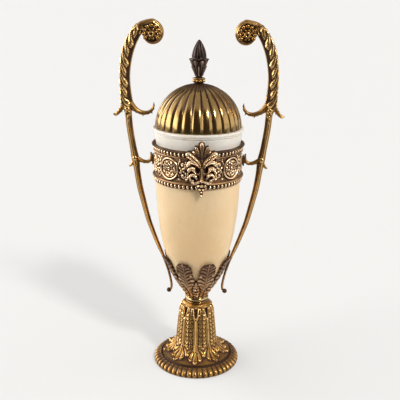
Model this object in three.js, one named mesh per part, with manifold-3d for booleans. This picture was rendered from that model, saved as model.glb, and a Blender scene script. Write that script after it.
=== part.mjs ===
// Mantel urn: a turned alabaster vessel in gilt brass mounts, with a ribbed dome lid and two
// tall scroll handles. Millimetres, +Z up. The origin is the centre of the foot's underside.
// The handles stand out along X and the mask on the collar looks along -Y.
import * as THREE from 'three';
import { mergeVertices } from 'three/addons/utils/BufferGeometryUtils.js';
import Module from 'manifold-3d';

// ---- driving dimensions ----
const GAP = 0.3;              // clearance between pieces that touch

const FOOT_R = 58.2;          // widest radius of the gadrooned border
const GADROONS = 48;
const FOOT_LEAVES = 9;
const FOOT_TOP = 87.6;        // flat top of the bell, under the neck ring

const NECK_TOP = 97.1;        // top of the neck ring, under the calyx

const CALYX_LEAVES = 8;
const CALYX_NOTCH = 127;      // height where neighbouring leaves part
const CALYX_TIP = 156;        // height of the leaf tips
const LEAF_THICK = 2.2;
const CALYX_FIT = 1.15;       // room between the calyx and the stone

const VESSEL_BOTTOM = 102.4;
const VESSEL_BELLY = 255;     // height at which the egg shape becomes a straight wall
const VESSEL_R = 53.8;
const VESSEL_RIM = 325.8;
const LIP_R = 57.5;
const WALL = 6;               // thickness of the stone

const BAND_BOTTOM = 258.4;
const BAND_TOP = 306.3;
const BAND_BORE = 54.3;
const FRIEZE_R = 55.2;
const MEDALLION_R = 13;
const MEDALLION_AT = 44;      // degrees on either side of a mask
const COLLAR_TURN = 6;        // degrees by which collar and masks sit turned on the vessel

const LID_R = 54.9;
const LID_BASE = VESSEL_RIM + GAP;
const LID_RISE = 54;
const LID_WALL = 2.2;
const LID_RIBS = 26;
const LID_TOP = 380.5;

const BEAD_RING_TOP = 387.6;
const FINIAL_TIP = 433.1;

const BOSS = [58.1, 438.4];   // centre of the volute, X and Z
const VOLUTE_R = 18.1;        // from the boss to the top of the volute
const VOLUTE_SHRINK = 0.82;   // the volute's radius falls to this share in each quarter turn
const ROD_HALF = 4.2;         // half the width of a handle's rod above its bracket
const ROD_DEEP = 3.1;         // half its depth, front to back

// ---- finishes ----
const finish = (color, roughness, metalness) => new THREE.MeshStandardMaterial({ color, roughness, metalness });
const antiqueGilt = finish(0x8f6a2c, 0.42, 1);
const polishedBrass = finish(0xb98f45, 0.22, 1);
const rosyGilt = finish(0xa87f55, 0.45, 1);
const brownBronze = finish(0x5a4032, 0.5, 1);
const blackBronze = finish(0x2e2622, 0.5, 1);
const alabaster = finish(0xe0c493, 0.4, 0);

// ---- helpers ----
const TURN = Math.PI * 2;
const radians = THREE.MathUtils.degToRad;
const lerp = THREE.MathUtils.lerp;

// Skins a stack of point rings with triangles. Neighbouring rings may differ in their number
// of points, and a ring of one point closes an end.
function skin(rings, closed = false) {
  const points = rings.flat();
  const starts = [];
  let total = 0;
  for (const ring of rings) {
    starts.push(total);
    total += ring.length;
  }
  const index = [];
  const bands = closed ? rings.length : rings.length - 1;
  for (let k = 0; k < bands; k += 1) {
    const next = (k + 1) % rings.length;
    const n = rings[k].length;
    const m = rings[next].length;
    const lower = (i) => starts[k] + (i % n);
    const upper = (j) => starts[next] + (j % m);
    const lowerSteps = n > 1 ? n : 0;
    const upperSteps = m > 1 ? m : 0;
    let i = 0;
    let j = 0;
    while (i < lowerSteps || j < upperSteps) {
      const stepLower = j >= upperSteps || (i < lowerSteps && (i + 1) / n <= (j + 1) / m);
      if (stepLower) {
        index.push(lower(i), lower(i + 1), upper(j));
        i += 1;
      } else {
        index.push(lower(i), upper(j + 1), upper(j));
        j += 1;
      }
    }
  }
  let volume = 0;
  for (let t = 0; t < index.length; t += 3) {
    const [a, b, c] = [points[index[t]], points[index[t + 1]], points[index[t + 2]]];
    volume += a.dot(b.clone().cross(c));
  }
  if (volume < 0) index.reverse();
  const geometry = new THREE.BufferGeometry();
  geometry.setAttribute('position', new THREE.Float32BufferAttribute(points.flatMap((p) => p.toArray()), 3));
  geometry.setIndex(index);
  return geometry;
}

// One ring of `count` points about the Z axis. `shape(angle)` gives the radius and the height;
// the angle is counted from the front, -Y, towards +X.
function ringOf(count, shape) {
  const ring = [];
  for (let i = 0; i < count; i += 1) {
    const angle = (TURN * i) / count;
    const [radius, z] = shape(angle);
    ring.push(new THREE.Vector3(radius * Math.sin(angle), -radius * Math.cos(angle), z));
  }
  return ring;
}

const onAxis = (z) => [new THREE.Vector3(0, 0, z)];

// A plain turned piece from its outline of [radius, height] points.
function turned(outline, segments) {
  const geometry = new THREE.LatheGeometry(outline.map(([r, z]) => new THREE.Vector2(r, z)), segments);
  return geometry.rotateX(Math.PI / 2);
}

// A bar along a curve in the XZ plane. Each station is [x, z, half width, half depth].
function bar(stations, steps, sides) {
  const route = new THREE.CatmullRomCurve3(stations.map(([x, z]) => new THREE.Vector3(x, 0, z)));
  const sizes = new THREE.CatmullRomCurve3(stations.map(([, , w, d]) => new THREE.Vector3(w, d, 0)));
  const rings = [[route.getPoint(0)]];
  for (let k = 0; k <= steps; k += 1) {
    const at = k / steps;
    const centre = route.getPoint(at);
    const along = route.getTangent(at);
    const across = new THREE.Vector3(along.z, 0, -along.x);
    const size = sizes.getPoint(at);
    const ring = [];
    for (let i = 0; i < sides; i += 1) {
      const angle = (TURN * i) / sides;
      const point = centre.clone().addScaledVector(across, size.x * Math.cos(angle));
      point.y = size.y * Math.sin(angle);
      ring.push(point);
    }
    rings.push(ring);
  }
  rings.push([route.getPoint(1)]);
  return skin(rings);
}

const wasm = await Module();
wasm.setup();

function solidOf(geometry) {
  const bare = geometry.clone();
  for (const name of Object.keys(bare.attributes)) {
    if (name !== 'position') bare.deleteAttribute(name);
  }
  const merged = mergeVertices(bare, 1e-4);
  return new wasm.Manifold(new wasm.Mesh({
    numProp: 3,
    vertProperties: merged.attributes.position.array,
    triVerts: new Uint32Array(merged.index.array),
  }));
}

function joined(geometries) {
  const solid = geometries.map(solidOf).reduce((sum, piece) => sum.add(piece));
  const mesh = solid.getMesh();
  const geometry = new THREE.BufferGeometry();
  geometry.setAttribute('position', new THREE.BufferAttribute(mesh.vertProperties, 3));
  geometry.setIndex(new THREE.BufferAttribute(mesh.triVerts, 1));
  return geometry;
}

// ---- the stone vessel ----
// Outer radius of the egg at a height: an ellipse-like curve, blunt at the bottom.
function eggRadius(z, radius = VESSEL_R, lowest = 98) {
  if (z >= VESSEL_BELLY) return radius;
  const depth = (VESSEL_BELLY - z) / (VESSEL_BELLY - lowest);
  return radius * (1 - depth ** 2.08) ** (1 / 1.8);
}

// Heights along the egg, closer together where it curves in.
function eggHeights(from, to, lowest, count) {
  const angleAt = (z) => Math.acos((VESSEL_BELLY - z) / (VESSEL_BELLY - lowest));
  const heights = [];
  for (let k = 0; k <= count; k += 1) {
    const angle = lerp(angleAt(from), angleAt(to), k / count);
    heights.push(VESSEL_BELLY - (VESSEL_BELLY - lowest) * Math.cos(angle));
  }
  return heights;
}

function vessel() {
  const inside = VESSEL_R - WALL;
  const floor = VESSEL_BOTTOM + 8.6;
  const outside = eggHeights(VESSEL_BOTTOM, VESSEL_BELLY, 98, 8).map((z) => [eggRadius(z), z]);
  const hollow = eggHeights(VESSEL_BELLY, floor + 0.4, floor, 5).map((z) => [eggRadius(z, inside, floor), z]);
  return turned([
    [0, VESSEL_BOTTOM],
    ...outside,
    [VESSEL_R - 0.4, BAND_BOTTOM + 4],
    [VESSEL_R - 0.4, BAND_TOP],
    [VESSEL_R + 1.3, BAND_TOP + 6],
    [VESSEL_R + 2, VESSEL_RIM - 7.5],
    [LIP_R, VESSEL_RIM - 4],
    [LIP_R, VESSEL_RIM - 1.6],
    [LIP_R - 0.8, VESSEL_RIM],
    [inside + 1, VESSEL_RIM],
    [inside, VESSEL_RIM - 1.2],
    ...hollow,
    [0, floor],
  ], 26);
}

// ---- foot: a gadrooned border, a raised mound and a bell wrapped in acanthus leaves ----
function foot() {
  const leaf = (angle) => Math.cos(FOOT_LEAVES * angle);
  const lobe = (angle) => Math.cos(GADROONS * angle);
  const plain = (r, z) => () => [r, z];
  const bell = (r, z, relief) => (angle) => [r + relief * leaf(angle), z];
  const border = (r, z, out, up) => (angle) => [r + out * lobe(angle), z + up * lobe(angle)];
  const fine = GADROONS * 2;
  const coarse = FOOT_LEAVES * 4;
  return skin([
    onAxis(0),
    ringOf(fine, border(57, 0, 0.3, 0)),
    ringOf(fine, border(FOOT_R - 0.6, 3.1, 0.6, 0)),
    ringOf(fine, border(56.2, 6.2, 0.8, 0.5)),
    ringOf(fine, border(51, 9.7, 0, 0.6)),
    ringOf(coarse, plain(47.2, 11.2)),
    ringOf(coarse, bell(45.4, 11.6, 0.8)),
    ringOf(coarse, bell(43.6, 13.6, 1.2)),
    ringOf(coarse, bell(36, 17.6, 1.6)),
    ringOf(coarse, bell(30.2, 23.6, 1.3)),
    ringOf(coarse, bell(27, 33, 0.9)),
    ringOf(coarse, bell(24.6, 55, 0.7)),
    ringOf(coarse, bell(22.8, 75, 0.6)),
    ringOf(coarse, bell(20.4, 83.6, 0.3)),
    ringOf(coarse / 2, plain(17.8, 86.6)),
    ringOf(coarse / 2, plain(15.8, FOOT_TOP)),
    onAxis(FOOT_TOP),
  ]);
}

// ---- neck ring: a turned brass bead between two fillets ----
function neckRing() {
  const bottom = FOOT_TOP + GAP;
  const middle = 93;
  const bead = [];
  for (let k = 0; k <= 3; k += 1) {
    const angle = lerp(-70, 70, k / 3);
    bead.push([13.4 + 2.8 * Math.cos(radians(angle)), middle + 2.9 * Math.sin(radians(angle))]);
  }
  return turned([[0, bottom], [14.9, bottom], [14.9, 89.4], ...bead, [13.8, NECK_TOP], [0, NECK_TOP]], 20);
}

// ---- calyx: eight pointed-oval leaves that grow from one cup and hold the vessel ----
function calyx() {
  const bottom = NECK_TOP + GAP;
  const count = CALYX_LEAVES * 4;
  const half = 180 / CALYX_LEAVES;
  const edge = (angle) => {
    const degrees = THREE.MathUtils.radToDeg(angle);
    const off = Math.abs((degrees % (2 * half)) - half) / half;
    return lerp(CALYX_NOTCH, CALYX_TIP, (1 - off ** 4) ** 2.2);
  };
  const rib = (angle) => 0.5 * Math.cos(CALYX_LEAVES * (angle - radians(half)));
  const outside = (share) => (angle) => {
    const z = lerp(114, edge(angle), share);
    return [eggRadius(z) + CALYX_FIT + lerp(LEAF_THICK, 1.4, share) + rib(angle), z];
  };
  const inside = (share) => (angle) => {
    const z = lerp(108, edge(angle) - 0.2, share);
    return [eggRadius(z) + CALYX_FIT, z];
  };
  return skin([
    onAxis(bottom),
    ringOf(count / 2, () => [14.2, bottom]),
    ringOf(count, () => [15.4, bottom + 1.6]),
    ringOf(count, () => [19.6, 106]),
    ringOf(count, outside(0)),
    ringOf(count, outside(0.5)),
    ringOf(count, outside(0.85)),
    ringOf(count, outside(1)),
    ringOf(count, inside(1)),
    ringOf(count, inside(0.6)),
    ringOf(count, inside(0.25)),
    ringOf(count, inside(0)),
    ringOf(count / 2, () => [13.4, 103]),
    ringOf(count / 2, () => [12, VESSEL_BOTTOM - 0.4]),
    onAxis(VESSEL_BOTTOM - 0.5),
  ]);
}

// ---- collar: two rolls, toothed fillets and a frieze with four wreathed medallions ----
function collar() {
  const band = turned([
    [BAND_BORE, BAND_BOTTOM],
    [55.9, BAND_BOTTOM],
    [57.4, 263.6],
    [58.2, 265.8],
    [57.4, 268],
    [FRIEZE_R, 268.8],
    [FRIEZE_R, 295.6],
    [57, 296.4],
    [58.9, 303.6],
    [57.6, 305.8],
    [BAND_BORE, BAND_TOP],
    [BAND_BORE, BAND_BOTTOM],
  ], 36);
  const pieces = [band];
  for (const degrees of [-MEDALLION_AT, MEDALLION_AT, 180 - MEDALLION_AT, 180 + MEDALLION_AT]) {
    const disc = new THREE.CylinderGeometry(MEDALLION_R, MEDALLION_R - 1, 2.6, 10);
    disc.translate(0, -FRIEZE_R, 0).rotateZ(radians(degrees));
    pieces.push(disc.translate(0, 0, (265.8 + 296) / 2));
  }
  return joined(pieces).rotateZ(radians(COLLAR_TURN));
}

// ---- mask: a leafy cartouche curved round the collar, standing proud of both rolls ----
function mask() {
  const backR = FRIEZE_R + 4.5;
  const middle = 286;
  // Right half of the outline from the crown to the drop: distance from the centre line, height.
  const half = [
    [0, 319.5], [3.5, 317.5], [6.8, 311.5], [9, 307.5], [15.6, 307], [14.2, 298],
    [12.2, 290], [13.6, 282], [11.6, 272], [7.2, 265.5], [3, 257], [0, 250.5],
  ];
  const outline = [...half, ...half.slice(1, -1).reverse().map(([x, z]) => [-x, z])];
  const layer = (share, radius) => outline.map(([x, z]) => {
    const angle = (x * share) / backR;
    const height = middle + (z - middle) * share;
    return new THREE.Vector3(radius * Math.sin(angle), -radius * Math.cos(angle), height);
  });
  return skin([
    [new THREE.Vector3(0, -backR, middle)],
    layer(0.4, backR),
    layer(0.7, backR),
    layer(1, backR),
    layer(0.97, backR + 1.4),
    layer(0.62, backR + 4.2),
    layer(0.28, backR + 6),
    [new THREE.Vector3(0, -backR - 6.8, middle)],
  ]);
}

// ---- lid: a hollow dome of convex ribs ----
function lid() {
  const perRib = 3;
  const groove = (angle) => {
    const phase = ((angle * LID_RIBS) / TURN + 0.5) % 1;
    return phase < 0.5 / perRib || phase > 1 - 0.5 / perRib ? 1 : 0;
  };
  const shift = Math.PI / LID_RIBS;
  const outside = (share) => {
    const turn = radians(share * 81);
    const r = LID_R * Math.cos(turn);
    const z = LID_BASE + LID_RISE * Math.sin(turn);
    const cut = Math.min(1.5, r * 0.05);
    const ring = ringOf(LID_RIBS * perRib, (angle) => [r - cut * groove(angle + shift), z]);
    return ring.map((point) => point.applyAxisAngle(new THREE.Vector3(0, 0, 1), shift));
  };
  const inside = (share) => {
    const turn = radians(share * 90);
    const r = (LID_R - LID_WALL - 1) * Math.cos(turn);
    const z = LID_BASE + (LID_RISE - LID_WALL) * Math.sin(turn);
    const ring = ringOf(LID_RIBS, () => [r, z]);
    return ring.map((point) => point.applyAxisAngle(new THREE.Vector3(0, 0, 1), shift));
  };
  const rings = [onAxis(LID_TOP)];
  for (const share of [1, 0.84, 0.65, 0.45, 0.22, 0]) rings.push(outside(share));
  for (const share of [0, 0.25, 0.5, 0.75]) rings.push(inside(share));
  rings.push(onAxis(LID_BASE + LID_RISE - LID_WALL));
  return skin(rings);
}

// ---- beaded ring under the finial ----
function beadRing() {
  const bottom = LID_TOP + GAP;
  const beads = 10;
  const bead = (angle) => [6.9 + 0.5 * Math.cos(beads * angle), 383.3];
  return skin([
    onAxis(bottom),
    ringOf(beads * 2, () => [6, bottom]),
    ringOf(beads * 2, bead),
    ringOf(beads * 2, () => [6.6, 384.8]),
    ringOf(beads * 2, () => [8.4, 385.4]),
    ringOf(beads * 2, () => [7.8, 386.8]),
    ringOf(beads * 2, () => [5.4, BEAD_RING_TOP]),
    onAxis(BEAD_RING_TOP),
  ]);
}

// ---- finial: a ribbed bud in an everted calyx ----
function finial() {
  const bottom = BEAD_RING_TOP + GAP;
  const leaves = 8;
  const wavy = (r, z, out) => ringOf(leaves * 2, (angle) => [r + out * Math.cos(leaves * angle), z]);
  return skin([
    onAxis(bottom),
    wavy(4.3, bottom, 0),
    wavy(4.7, 390.2, 0),
    wavy(7, 396.4, 0.4),
    wavy(9, 402.5, 0.5),
    wavy(10.4, 406.4, 0.5),
    wavy(12, 409.8, 0.7),
    wavy(9.6, 411.4, 0),
    wavy(9.1, 415, 0.3),
    wavy(7.8, 420.5, 0.3),
    wavy(5.2, 426.5, 0.2),
    wavy(2.4, 431, 0),
    onAxis(FINIAL_TIP),
  ]);
}

// ---- handle: volute, leafy arm, rod, bracket to the collar, root on the calyx and curled tail ----
function handle() {
  const [bossX, bossZ] = BOSS;
  const scroll = [];
  for (let degrees = 360; degrees >= 90; degrees -= 45) {
    const outer = VOLUTE_R * VOLUTE_SHRINK ** ((degrees - 90) / 90);
    const half = lerp(5, 1.8, (degrees - 90) / 270);
    const at = radians(180 - degrees);
    const middle = outer - half;
    scroll.push([bossX - middle * Math.cos(at), bossZ + middle * Math.sin(at), half, 5.4]);
  }
  const arm = [
    [70.2, 447.2, 5.8, 5.4], [78.3, 437.5, 6.6, 5.4], [84.8, 424.5, 7, 5.4],
    [88.7, 411, 6.9, 5.3], [90.9, 396, 6.5, 5.2], [91.4, 381, 6.4, 5.1],
    [90.6, 365, 6.9, 5], [89.4, 353, 7.6, 5], [88.6, 345.5, 5.4, 4.4],
  ];
  const rod = [
    [88, 339, 4.3, 3.4], [86.5, 322, ROD_HALF, ROD_DEEP], [82.9, 298, ROD_HALF, ROD_DEEP], [80.6, 285, 4.9, 3.8],
    [79.2, 276, 4.5, 3.6], [78.2, 267, 4, ROD_DEEP], [75.4, 248, 3.9, 3], [71.3, 229.5, 3.7, 3], [64.3, 201.5, 3.3, 2.8],
    [59.6, 187.5, 3, 2.7], [54.6, 173.8, 2.8, 2.6], [49.4, 160.5, 2.5, 2.4], [46, 152.5, 2.1, 2.2],
  ];
  const tail = [
    [42.4, 142.5, 1.7, 1.9], [38.8, 131, 1.4, 1.6], [35.6, 118, 1.3, 1.5],
    [34.2, 108.5, 1.3, 1.5], [34.8, 102.4, 1.3, 1.6],
  ];
  const root = [
    [45, 150.4, 1.9, 2], [41.4, 144.4, 1.6, 1.7], [37.6, 138.2, 1.3, 1.5], [33.1, 128.5, 0.7, 0.9],
  ];
  const innerTendril = [
    [86, 354, 4.4, 4], [80.8, 347.8, 3.6, 3.6], [76, 344.3, 2.9, 3], [70, 342.2, 2.6, 2.6],
    [63.5, 342.6, 2.2, 2.2], [58.8, 345.8, 1.8, 1.8], [56.6, 350.4, 1.2, 1.3], [56.3, 355.4, 0.4, 0.5],
  ];
  const outerTendril = [
    [94, 351, 3, 3], [98.4, 346.4, 2.2, 2.2], [102.2, 341.6, 1.6, 1.7],
    [105.4, 338.6, 1.3, 1.4], [107.6, 338.6, 0.7, 0.8],
  ];
  const bractTip = [[80.4, 282, 3, 2.6], [84, 276.6, 2, 2], [87, 273.2, 1.4, 1.4], [88.8, 273.4, 0.6, 0.7]];
  const bracket = [
    [80.4, 284, 3.2, 3], [74.6, 283.2, 2.5, 2.4], [70, 281.4, 1.9, 2], [65, 280.6, 1.8, 2], [58.6, 280.4, 1.9, 2],
  ];
  const hook = [[57.8, 276.8, 0.7, 1.6], [57.7, 281, 2, 3.2], [57.6, 286.4, 1.7, 3], [59, 292, 0.5, 1]];
  const disc = new THREE.CylinderGeometry(10.4, 10.4, 8.4, 12).translate(bossX, 0, bossZ);
  const boss = new THREE.CylinderGeometry(2.6, 3.8, 2.2, 8);
  const frontBoss = boss.clone().rotateX(Math.PI).translate(bossX, -5, bossZ);
  const backBoss = boss.clone().translate(bossX, 5, bossZ);
  const curl = new THREE.SphereGeometry(3.1, 8, 5).translate(37.6, 0, 100.8);
  return joined([
    bar([...scroll, ...arm, ...rod, ...tail], 45, 6),
    bar(root, 3, 4),
    bar(innerTendril, 8, 5),
    bar(outerTendril, 4, 5),
    bar(bractTip, 3, 5),
    bar(bracket, 4, 5),
    bar(hook, 4, 5),
    disc,
    frontBoss,
    backBoss,
    curl,
  ]);
}

// ---- the urn ----
const urn = new THREE.Group();

function place(name, geometry, material, turn = 0) {
  const mesh = new THREE.Mesh(geometry, material);
  mesh.name = name;
  mesh.rotation.z = radians(turn);
  urn.add(mesh);
}

place('foot', foot(), antiqueGilt);
place('neck_ring', neckRing(), polishedBrass);
place('calyx', calyx(), brownBronze);
place('vessel', vessel(), alabaster);
place('collar', collar(), rosyGilt);
place('mask_front', mask(), rosyGilt, COLLAR_TURN);
place('mask_back', mask(), rosyGilt, COLLAR_TURN + 180);
place('lid', lid(), polishedBrass);
place('bead_ring', beadRing(), antiqueGilt);
place('finial', finial(), blackBronze);
place('handle_right', handle(), antiqueGilt);
place('handle_left', handle(), antiqueGilt, 180);

export default urn;
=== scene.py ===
# %% [markdown]
# # A mantel urn
# This lesson rebuilds a tall lidded urn: an alabaster vessel held in cast and gilt brass mounts, with a
# ribbed dome lid, a dark bud finial and two high scroll handles. The plain solids come from the CAD frame.
# They say where everything is and how big it is. Here every one of them gets the carved surface that a
# founder's chaser would give it.
#
# The first cell loads the frame. Everything after it is measured from that frame, so nothing can drift.

# %% load the frame
import math

import bpy
import numpy as np
from mathutils import Euler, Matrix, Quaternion, Vector


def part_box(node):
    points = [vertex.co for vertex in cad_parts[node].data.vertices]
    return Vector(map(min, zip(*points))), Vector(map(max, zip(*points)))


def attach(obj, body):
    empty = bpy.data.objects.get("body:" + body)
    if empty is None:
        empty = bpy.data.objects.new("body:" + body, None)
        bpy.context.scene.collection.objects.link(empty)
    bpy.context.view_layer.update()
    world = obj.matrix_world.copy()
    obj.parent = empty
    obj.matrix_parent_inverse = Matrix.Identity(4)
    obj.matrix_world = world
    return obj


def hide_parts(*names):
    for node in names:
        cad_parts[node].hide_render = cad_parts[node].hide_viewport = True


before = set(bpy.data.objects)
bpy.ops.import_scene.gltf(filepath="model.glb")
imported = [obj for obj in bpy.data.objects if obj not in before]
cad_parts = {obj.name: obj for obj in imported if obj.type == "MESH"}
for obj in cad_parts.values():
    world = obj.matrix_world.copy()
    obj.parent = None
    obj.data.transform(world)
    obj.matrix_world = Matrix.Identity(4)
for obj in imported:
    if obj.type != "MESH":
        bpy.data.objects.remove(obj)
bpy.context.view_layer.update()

print("frame loaded:", ", ".join(sorted(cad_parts)))

# %% [markdown]
# ## The measures
# The CAD boxes give the heights at which the pieces meet. Work at the bench is easier in millimetres, so
# the boxes are turned into millimetres once, and the meshes go back to metres when they are made.

# %% measures
MM = 0.001
TAU = math.tau


def extent(node):
    """Lowest and highest corner of a CAD node, in millimetres."""
    low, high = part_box(node)
    return np.array(low) / MM, np.array(high) / MM


FOOT_HIGH = extent("foot")[1]
NECK_LOW, NECK_HIGH = extent("neck_ring")
CALYX_LOW, CALYX_HIGH = extent("calyx")
VESSEL_LOW, VESSEL_HIGH = extent("vessel")
COLLAR_LOW, COLLAR_HIGH = extent("collar")
MASK_LOW = extent("mask_front")[0]
LID_LOW, LID_HIGH = extent("lid")
BEADS_LOW, BEADS_HIGH = extent("bead_ring")
FINIAL_LOW, FINIAL_HIGH = extent("finial")
HANDLE_HIGH = extent("handle_right")[1]
print(f"urn {HANDLE_HIGH[2]:.1f} mm high, foot {FOOT_HIGH[0] * 2:.1f} mm across")
print(f"vessel {VESSEL_HIGH[0] * 2:.1f} mm across at its lip")

# %% [markdown]
# ## Tools for carving
# Cast ornament is a height over a plain turned or bent form. So every carved piece here is a grid of
# points: a plain form, plus a height along its own surface normal. The same height then tells where dirt
# and dark lacquer would stay (the hollows) and where a cloth would rub it bright (the crests). That number
# goes with the mesh as the attribute `relief`, from 0 in a deep hollow through 0.5 on a plain surface to 1
# on a crest. On the lid, the mask's tuft and the handles' arms and rods, the same number also carries
# painted highlights, a painted reflection and painted shade.


# %% small shaping functions
def smooth(low, high, x):
    """0 below low, 1 above high, and an easy curve between."""
    t = np.clip((x - low) / (high - low), 0, 1)
    return t * t * (3 - 2 * t)


def bump(x, width):
    """A round hill one high and about `width` to each side."""
    return np.exp(-((x / width) ** 2))


def dome(x, z, rx, rz):
    """Half an egg one high over an oval of half axes rx and rz, and 0 outside it."""
    return np.sqrt(np.clip(1 - (x / rx) ** 2 - (z / rz) ** 2, 0, 1))


def blurred(field, rows_reach, columns_reach):
    """The field with fine detail taken out. Columns run round the piece; rows end, so they are mirrored."""
    full = np.concatenate([field, field[::-1]])
    fy = np.fft.fftfreq(full.shape[0])[:, None]
    fx = np.fft.fftfreq(full.shape[1])[None, :]
    keep = np.exp(-2 * (math.pi * rows_reach * fy) ** 2 - 2 * (math.pi * columns_reach * fx) ** 2)
    out = np.fft.ifft2(np.fft.fft2(full) * keep).real
    return out[: field.shape[0], : field.shape[1]]


def relief_of(height, rows_reach, columns_reach, depth):
    """0 in the hollows, 0.5 on plain ground, 1 on crests that stand `depth` above what lies around them."""
    wide = height - blurred(height, rows_reach, columns_reach)
    fine = height - blurred(height, rows_reach / 3, columns_reach / 3)
    return np.clip(0.5 + 0.5 * (0.6 * wide + 0.9 * fine) / depth, 0, 1)


def rounded(points, steps):
    """A smooth curve through the points, `steps` to each stretch."""
    p = np.array(points, float)
    ends = np.concatenate([[2 * p[0] - p[1]], p, [2 * p[-1] - p[-2]]])
    a, b, c, d = ends[:-3, None], ends[1:-2, None], ends[2:-1, None], ends[3:, None]
    t = (np.arange(steps) / steps)[None, :, None]
    run = 0.5 * (2 * b + (c - a) * t + (2 * a - 5 * b + 4 * c - d) * t**2 + (3 * b - a - 3 * c + d) * t**3)
    return np.concatenate([run.reshape(-1, p.shape[1]), p[-1:]])


def distances(line):
    """How far along the line each of its points lies. The line's first two numbers are its place."""
    return np.concatenate([[0], np.cumsum(np.linalg.norm(np.diff(line[:, :2], axis=0), axis=1))])


def evenly(line, count):
    """The line again, with `count` points at equal distances."""
    along = distances(line)
    at = np.linspace(0, along[-1], count)
    return np.stack([np.interp(at, along, line[:, k]) for k in range(line.shape[1])], 1)


# %% grids and meshes
class Shell:
    """Points, faces and relief of one piece, gathered part by part."""

    def __init__(self):
        self.points, self.faces, self.relief, self.count = [], [], [], 0

    def grid(self, surface, relief=None, caps=(False, False)):
        """Rows x columns x 3 points, each row a ring. A cap closes the first or the last row with a fan."""
        rows, columns = surface.shape[:2]
        i = np.arange(rows - 1)[:, None] * columns
        j = np.arange(columns)[None, :]
        k = (j + 1) % columns
        quads = np.stack([i + j, i + k, i + columns + k, i + columns + j], -1).reshape(-1, 4) + self.count
        marks = np.full((rows, columns), 0.5) if relief is None else relief
        self.faces += quads.tolist()
        self.points.append(surface.reshape(-1, 3))
        self.relief.append(marks.reshape(-1))
        first, last = self.count, self.count + (rows - 1) * columns
        self.count += rows * columns
        if caps[0]:
            self.fan(surface[0], marks[0], first, True)
        if caps[1]:
            self.fan(surface[-1], marks[-1], last, False)

    def fan(self, ring, marks, first, turned_over):
        """Triangles from a ring, whose points start at `first`, to a new point in its middle."""
        columns = len(ring)
        self.points.append(ring.mean(0)[None])
        self.relief.append(np.array([marks.mean()]))
        for j in range(columns):
            k = (j + 1) % columns
            near, far = (k, j) if turned_over else (j, k)
            self.faces.append([first + near, first + far, self.count])
        self.count += 1

    def ball(self, centre, radii, relief, columns, rows):
        """An egg with its own three half axes, for beads and berries."""
        turn = np.arange(columns) * TAU / columns
        tilt = np.linspace(-0.46, 0.46, rows) * math.pi
        x = np.cos(tilt)[:, None] * np.cos(turn)[None, :]
        y = np.cos(tilt)[:, None] * np.sin(turn)[None, :]
        z = np.sin(tilt)[:, None] * np.ones(columns)[None, :]
        surface = np.stack([x, y, z], -1) * np.array(radii) + np.array(centre)
        self.grid(surface, np.full((rows, columns), relief), caps=(True, True))

    def object(self, name, slot, material, *nodes, turn=0.0, sharp=50):
        """The finished piece, in metres, standing for the CAD nodes named."""
        mesh = bpy.data.meshes.new(name)
        points = np.concatenate(self.points)
        if turn:
            c, s = math.cos(math.radians(turn)), math.sin(math.radians(turn))
            points = points @ np.array([[c, s, 0], [-s, c, 0], [0, 0, 1]])
        mesh.from_pydata((points * MM).tolist(), [], self.faces)
        mark = mesh.attributes.new("relief", "FLOAT", "POINT")
        mark.data.foreach_set("value", np.concatenate(self.relief).astype(np.float32))
        mesh.shade_smooth()
        mesh.set_sharp_from_angle(angle=math.radians(sharp))
        mesh.materials.append(material)
        piece = bpy.data.objects.new(name, mesh)
        bpy.context.scene.collection.objects.link(piece)
        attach(piece, "root")
        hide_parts(*nodes)
        triangles = sum(len(f) - 2 for f in self.faces)
        print(f"{name}: {triangles} triangles")
        return piece


def around(radius, height, angle):
    """Points about the upright axis. Angles start at the front and run towards the right-hand handle."""
    r, z, a = np.broadcast_arrays(radius, height, angle)
    return np.stack([r * np.sin(a), -r * np.cos(a), z], -1)


def raised(surface, height):
    """The surface moved along its own normal by the height."""
    ahead = np.roll(surface, -1, 1) - np.roll(surface, 1, 1)
    up = np.gradient(surface, axis=0)
    normal = np.cross(ahead, up)
    normal /= np.maximum(np.linalg.norm(normal, axis=-1, keepdims=True), 1e-9)
    return surface + normal * height[..., None]


def turned(line, columns):
    """The plain surface made by turning a line of (radius, height) points, and its angles."""
    angle = np.arange(columns) * TAU / columns
    return around(line[:, :1], line[:, 1:2], angle[None, :]), angle


# %% [markdown]
# ## Finishes
# All the metal is one alloy, brass, but it left the workshop in several coats: bright polished sheet for
# the lid, warm gilding for the foot and handles, a paler rosy gilding for the collar, brown bronzing for
# the leaves under the vessel and a nearly black one for the bud. A hundred years did the same thing to all
# of them, so that part is one shared group: dark lacquer and dirt in the hollows, rubbed metal on the
# crests, blotches and fine wear over the rest.


# %% node helpers
def new_group(name, inputs, outputs):
    """An empty shader group with its sockets. Returns the tree, its input node and its output node."""
    tree = bpy.data.node_groups.new(name, "ShaderNodeTree")
    for label, kind, value in inputs:
        socket = tree.interface.new_socket(label, in_out="INPUT", socket_type=kind)
        socket.default_value = value
    for label, kind in outputs:
        tree.interface.new_socket(label, in_out="OUTPUT", socket_type=kind)
    return tree, tree.nodes.new("NodeGroupInput"), tree.nodes.new("NodeGroupOutput")


def noise(tree, vector, scale, detail=4, roughness=0.55, stretch=None):
    """A noise texture in object space; stretch squeezes it along an axis first."""
    if stretch:
        mapping = tree.nodes.new("ShaderNodeMapping")
        mapping.inputs["Scale"].default_value = stretch
        tree.links.new(vector, mapping.inputs["Vector"])
        vector = mapping.outputs["Vector"]
    node = tree.nodes.new("ShaderNodeTexNoise")
    node.inputs["Scale"].default_value = scale
    node.inputs["Detail"].default_value = detail
    node.inputs["Roughness"].default_value = roughness
    tree.links.new(vector, node.inputs["Vector"])
    return node.outputs["Fac"]


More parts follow.
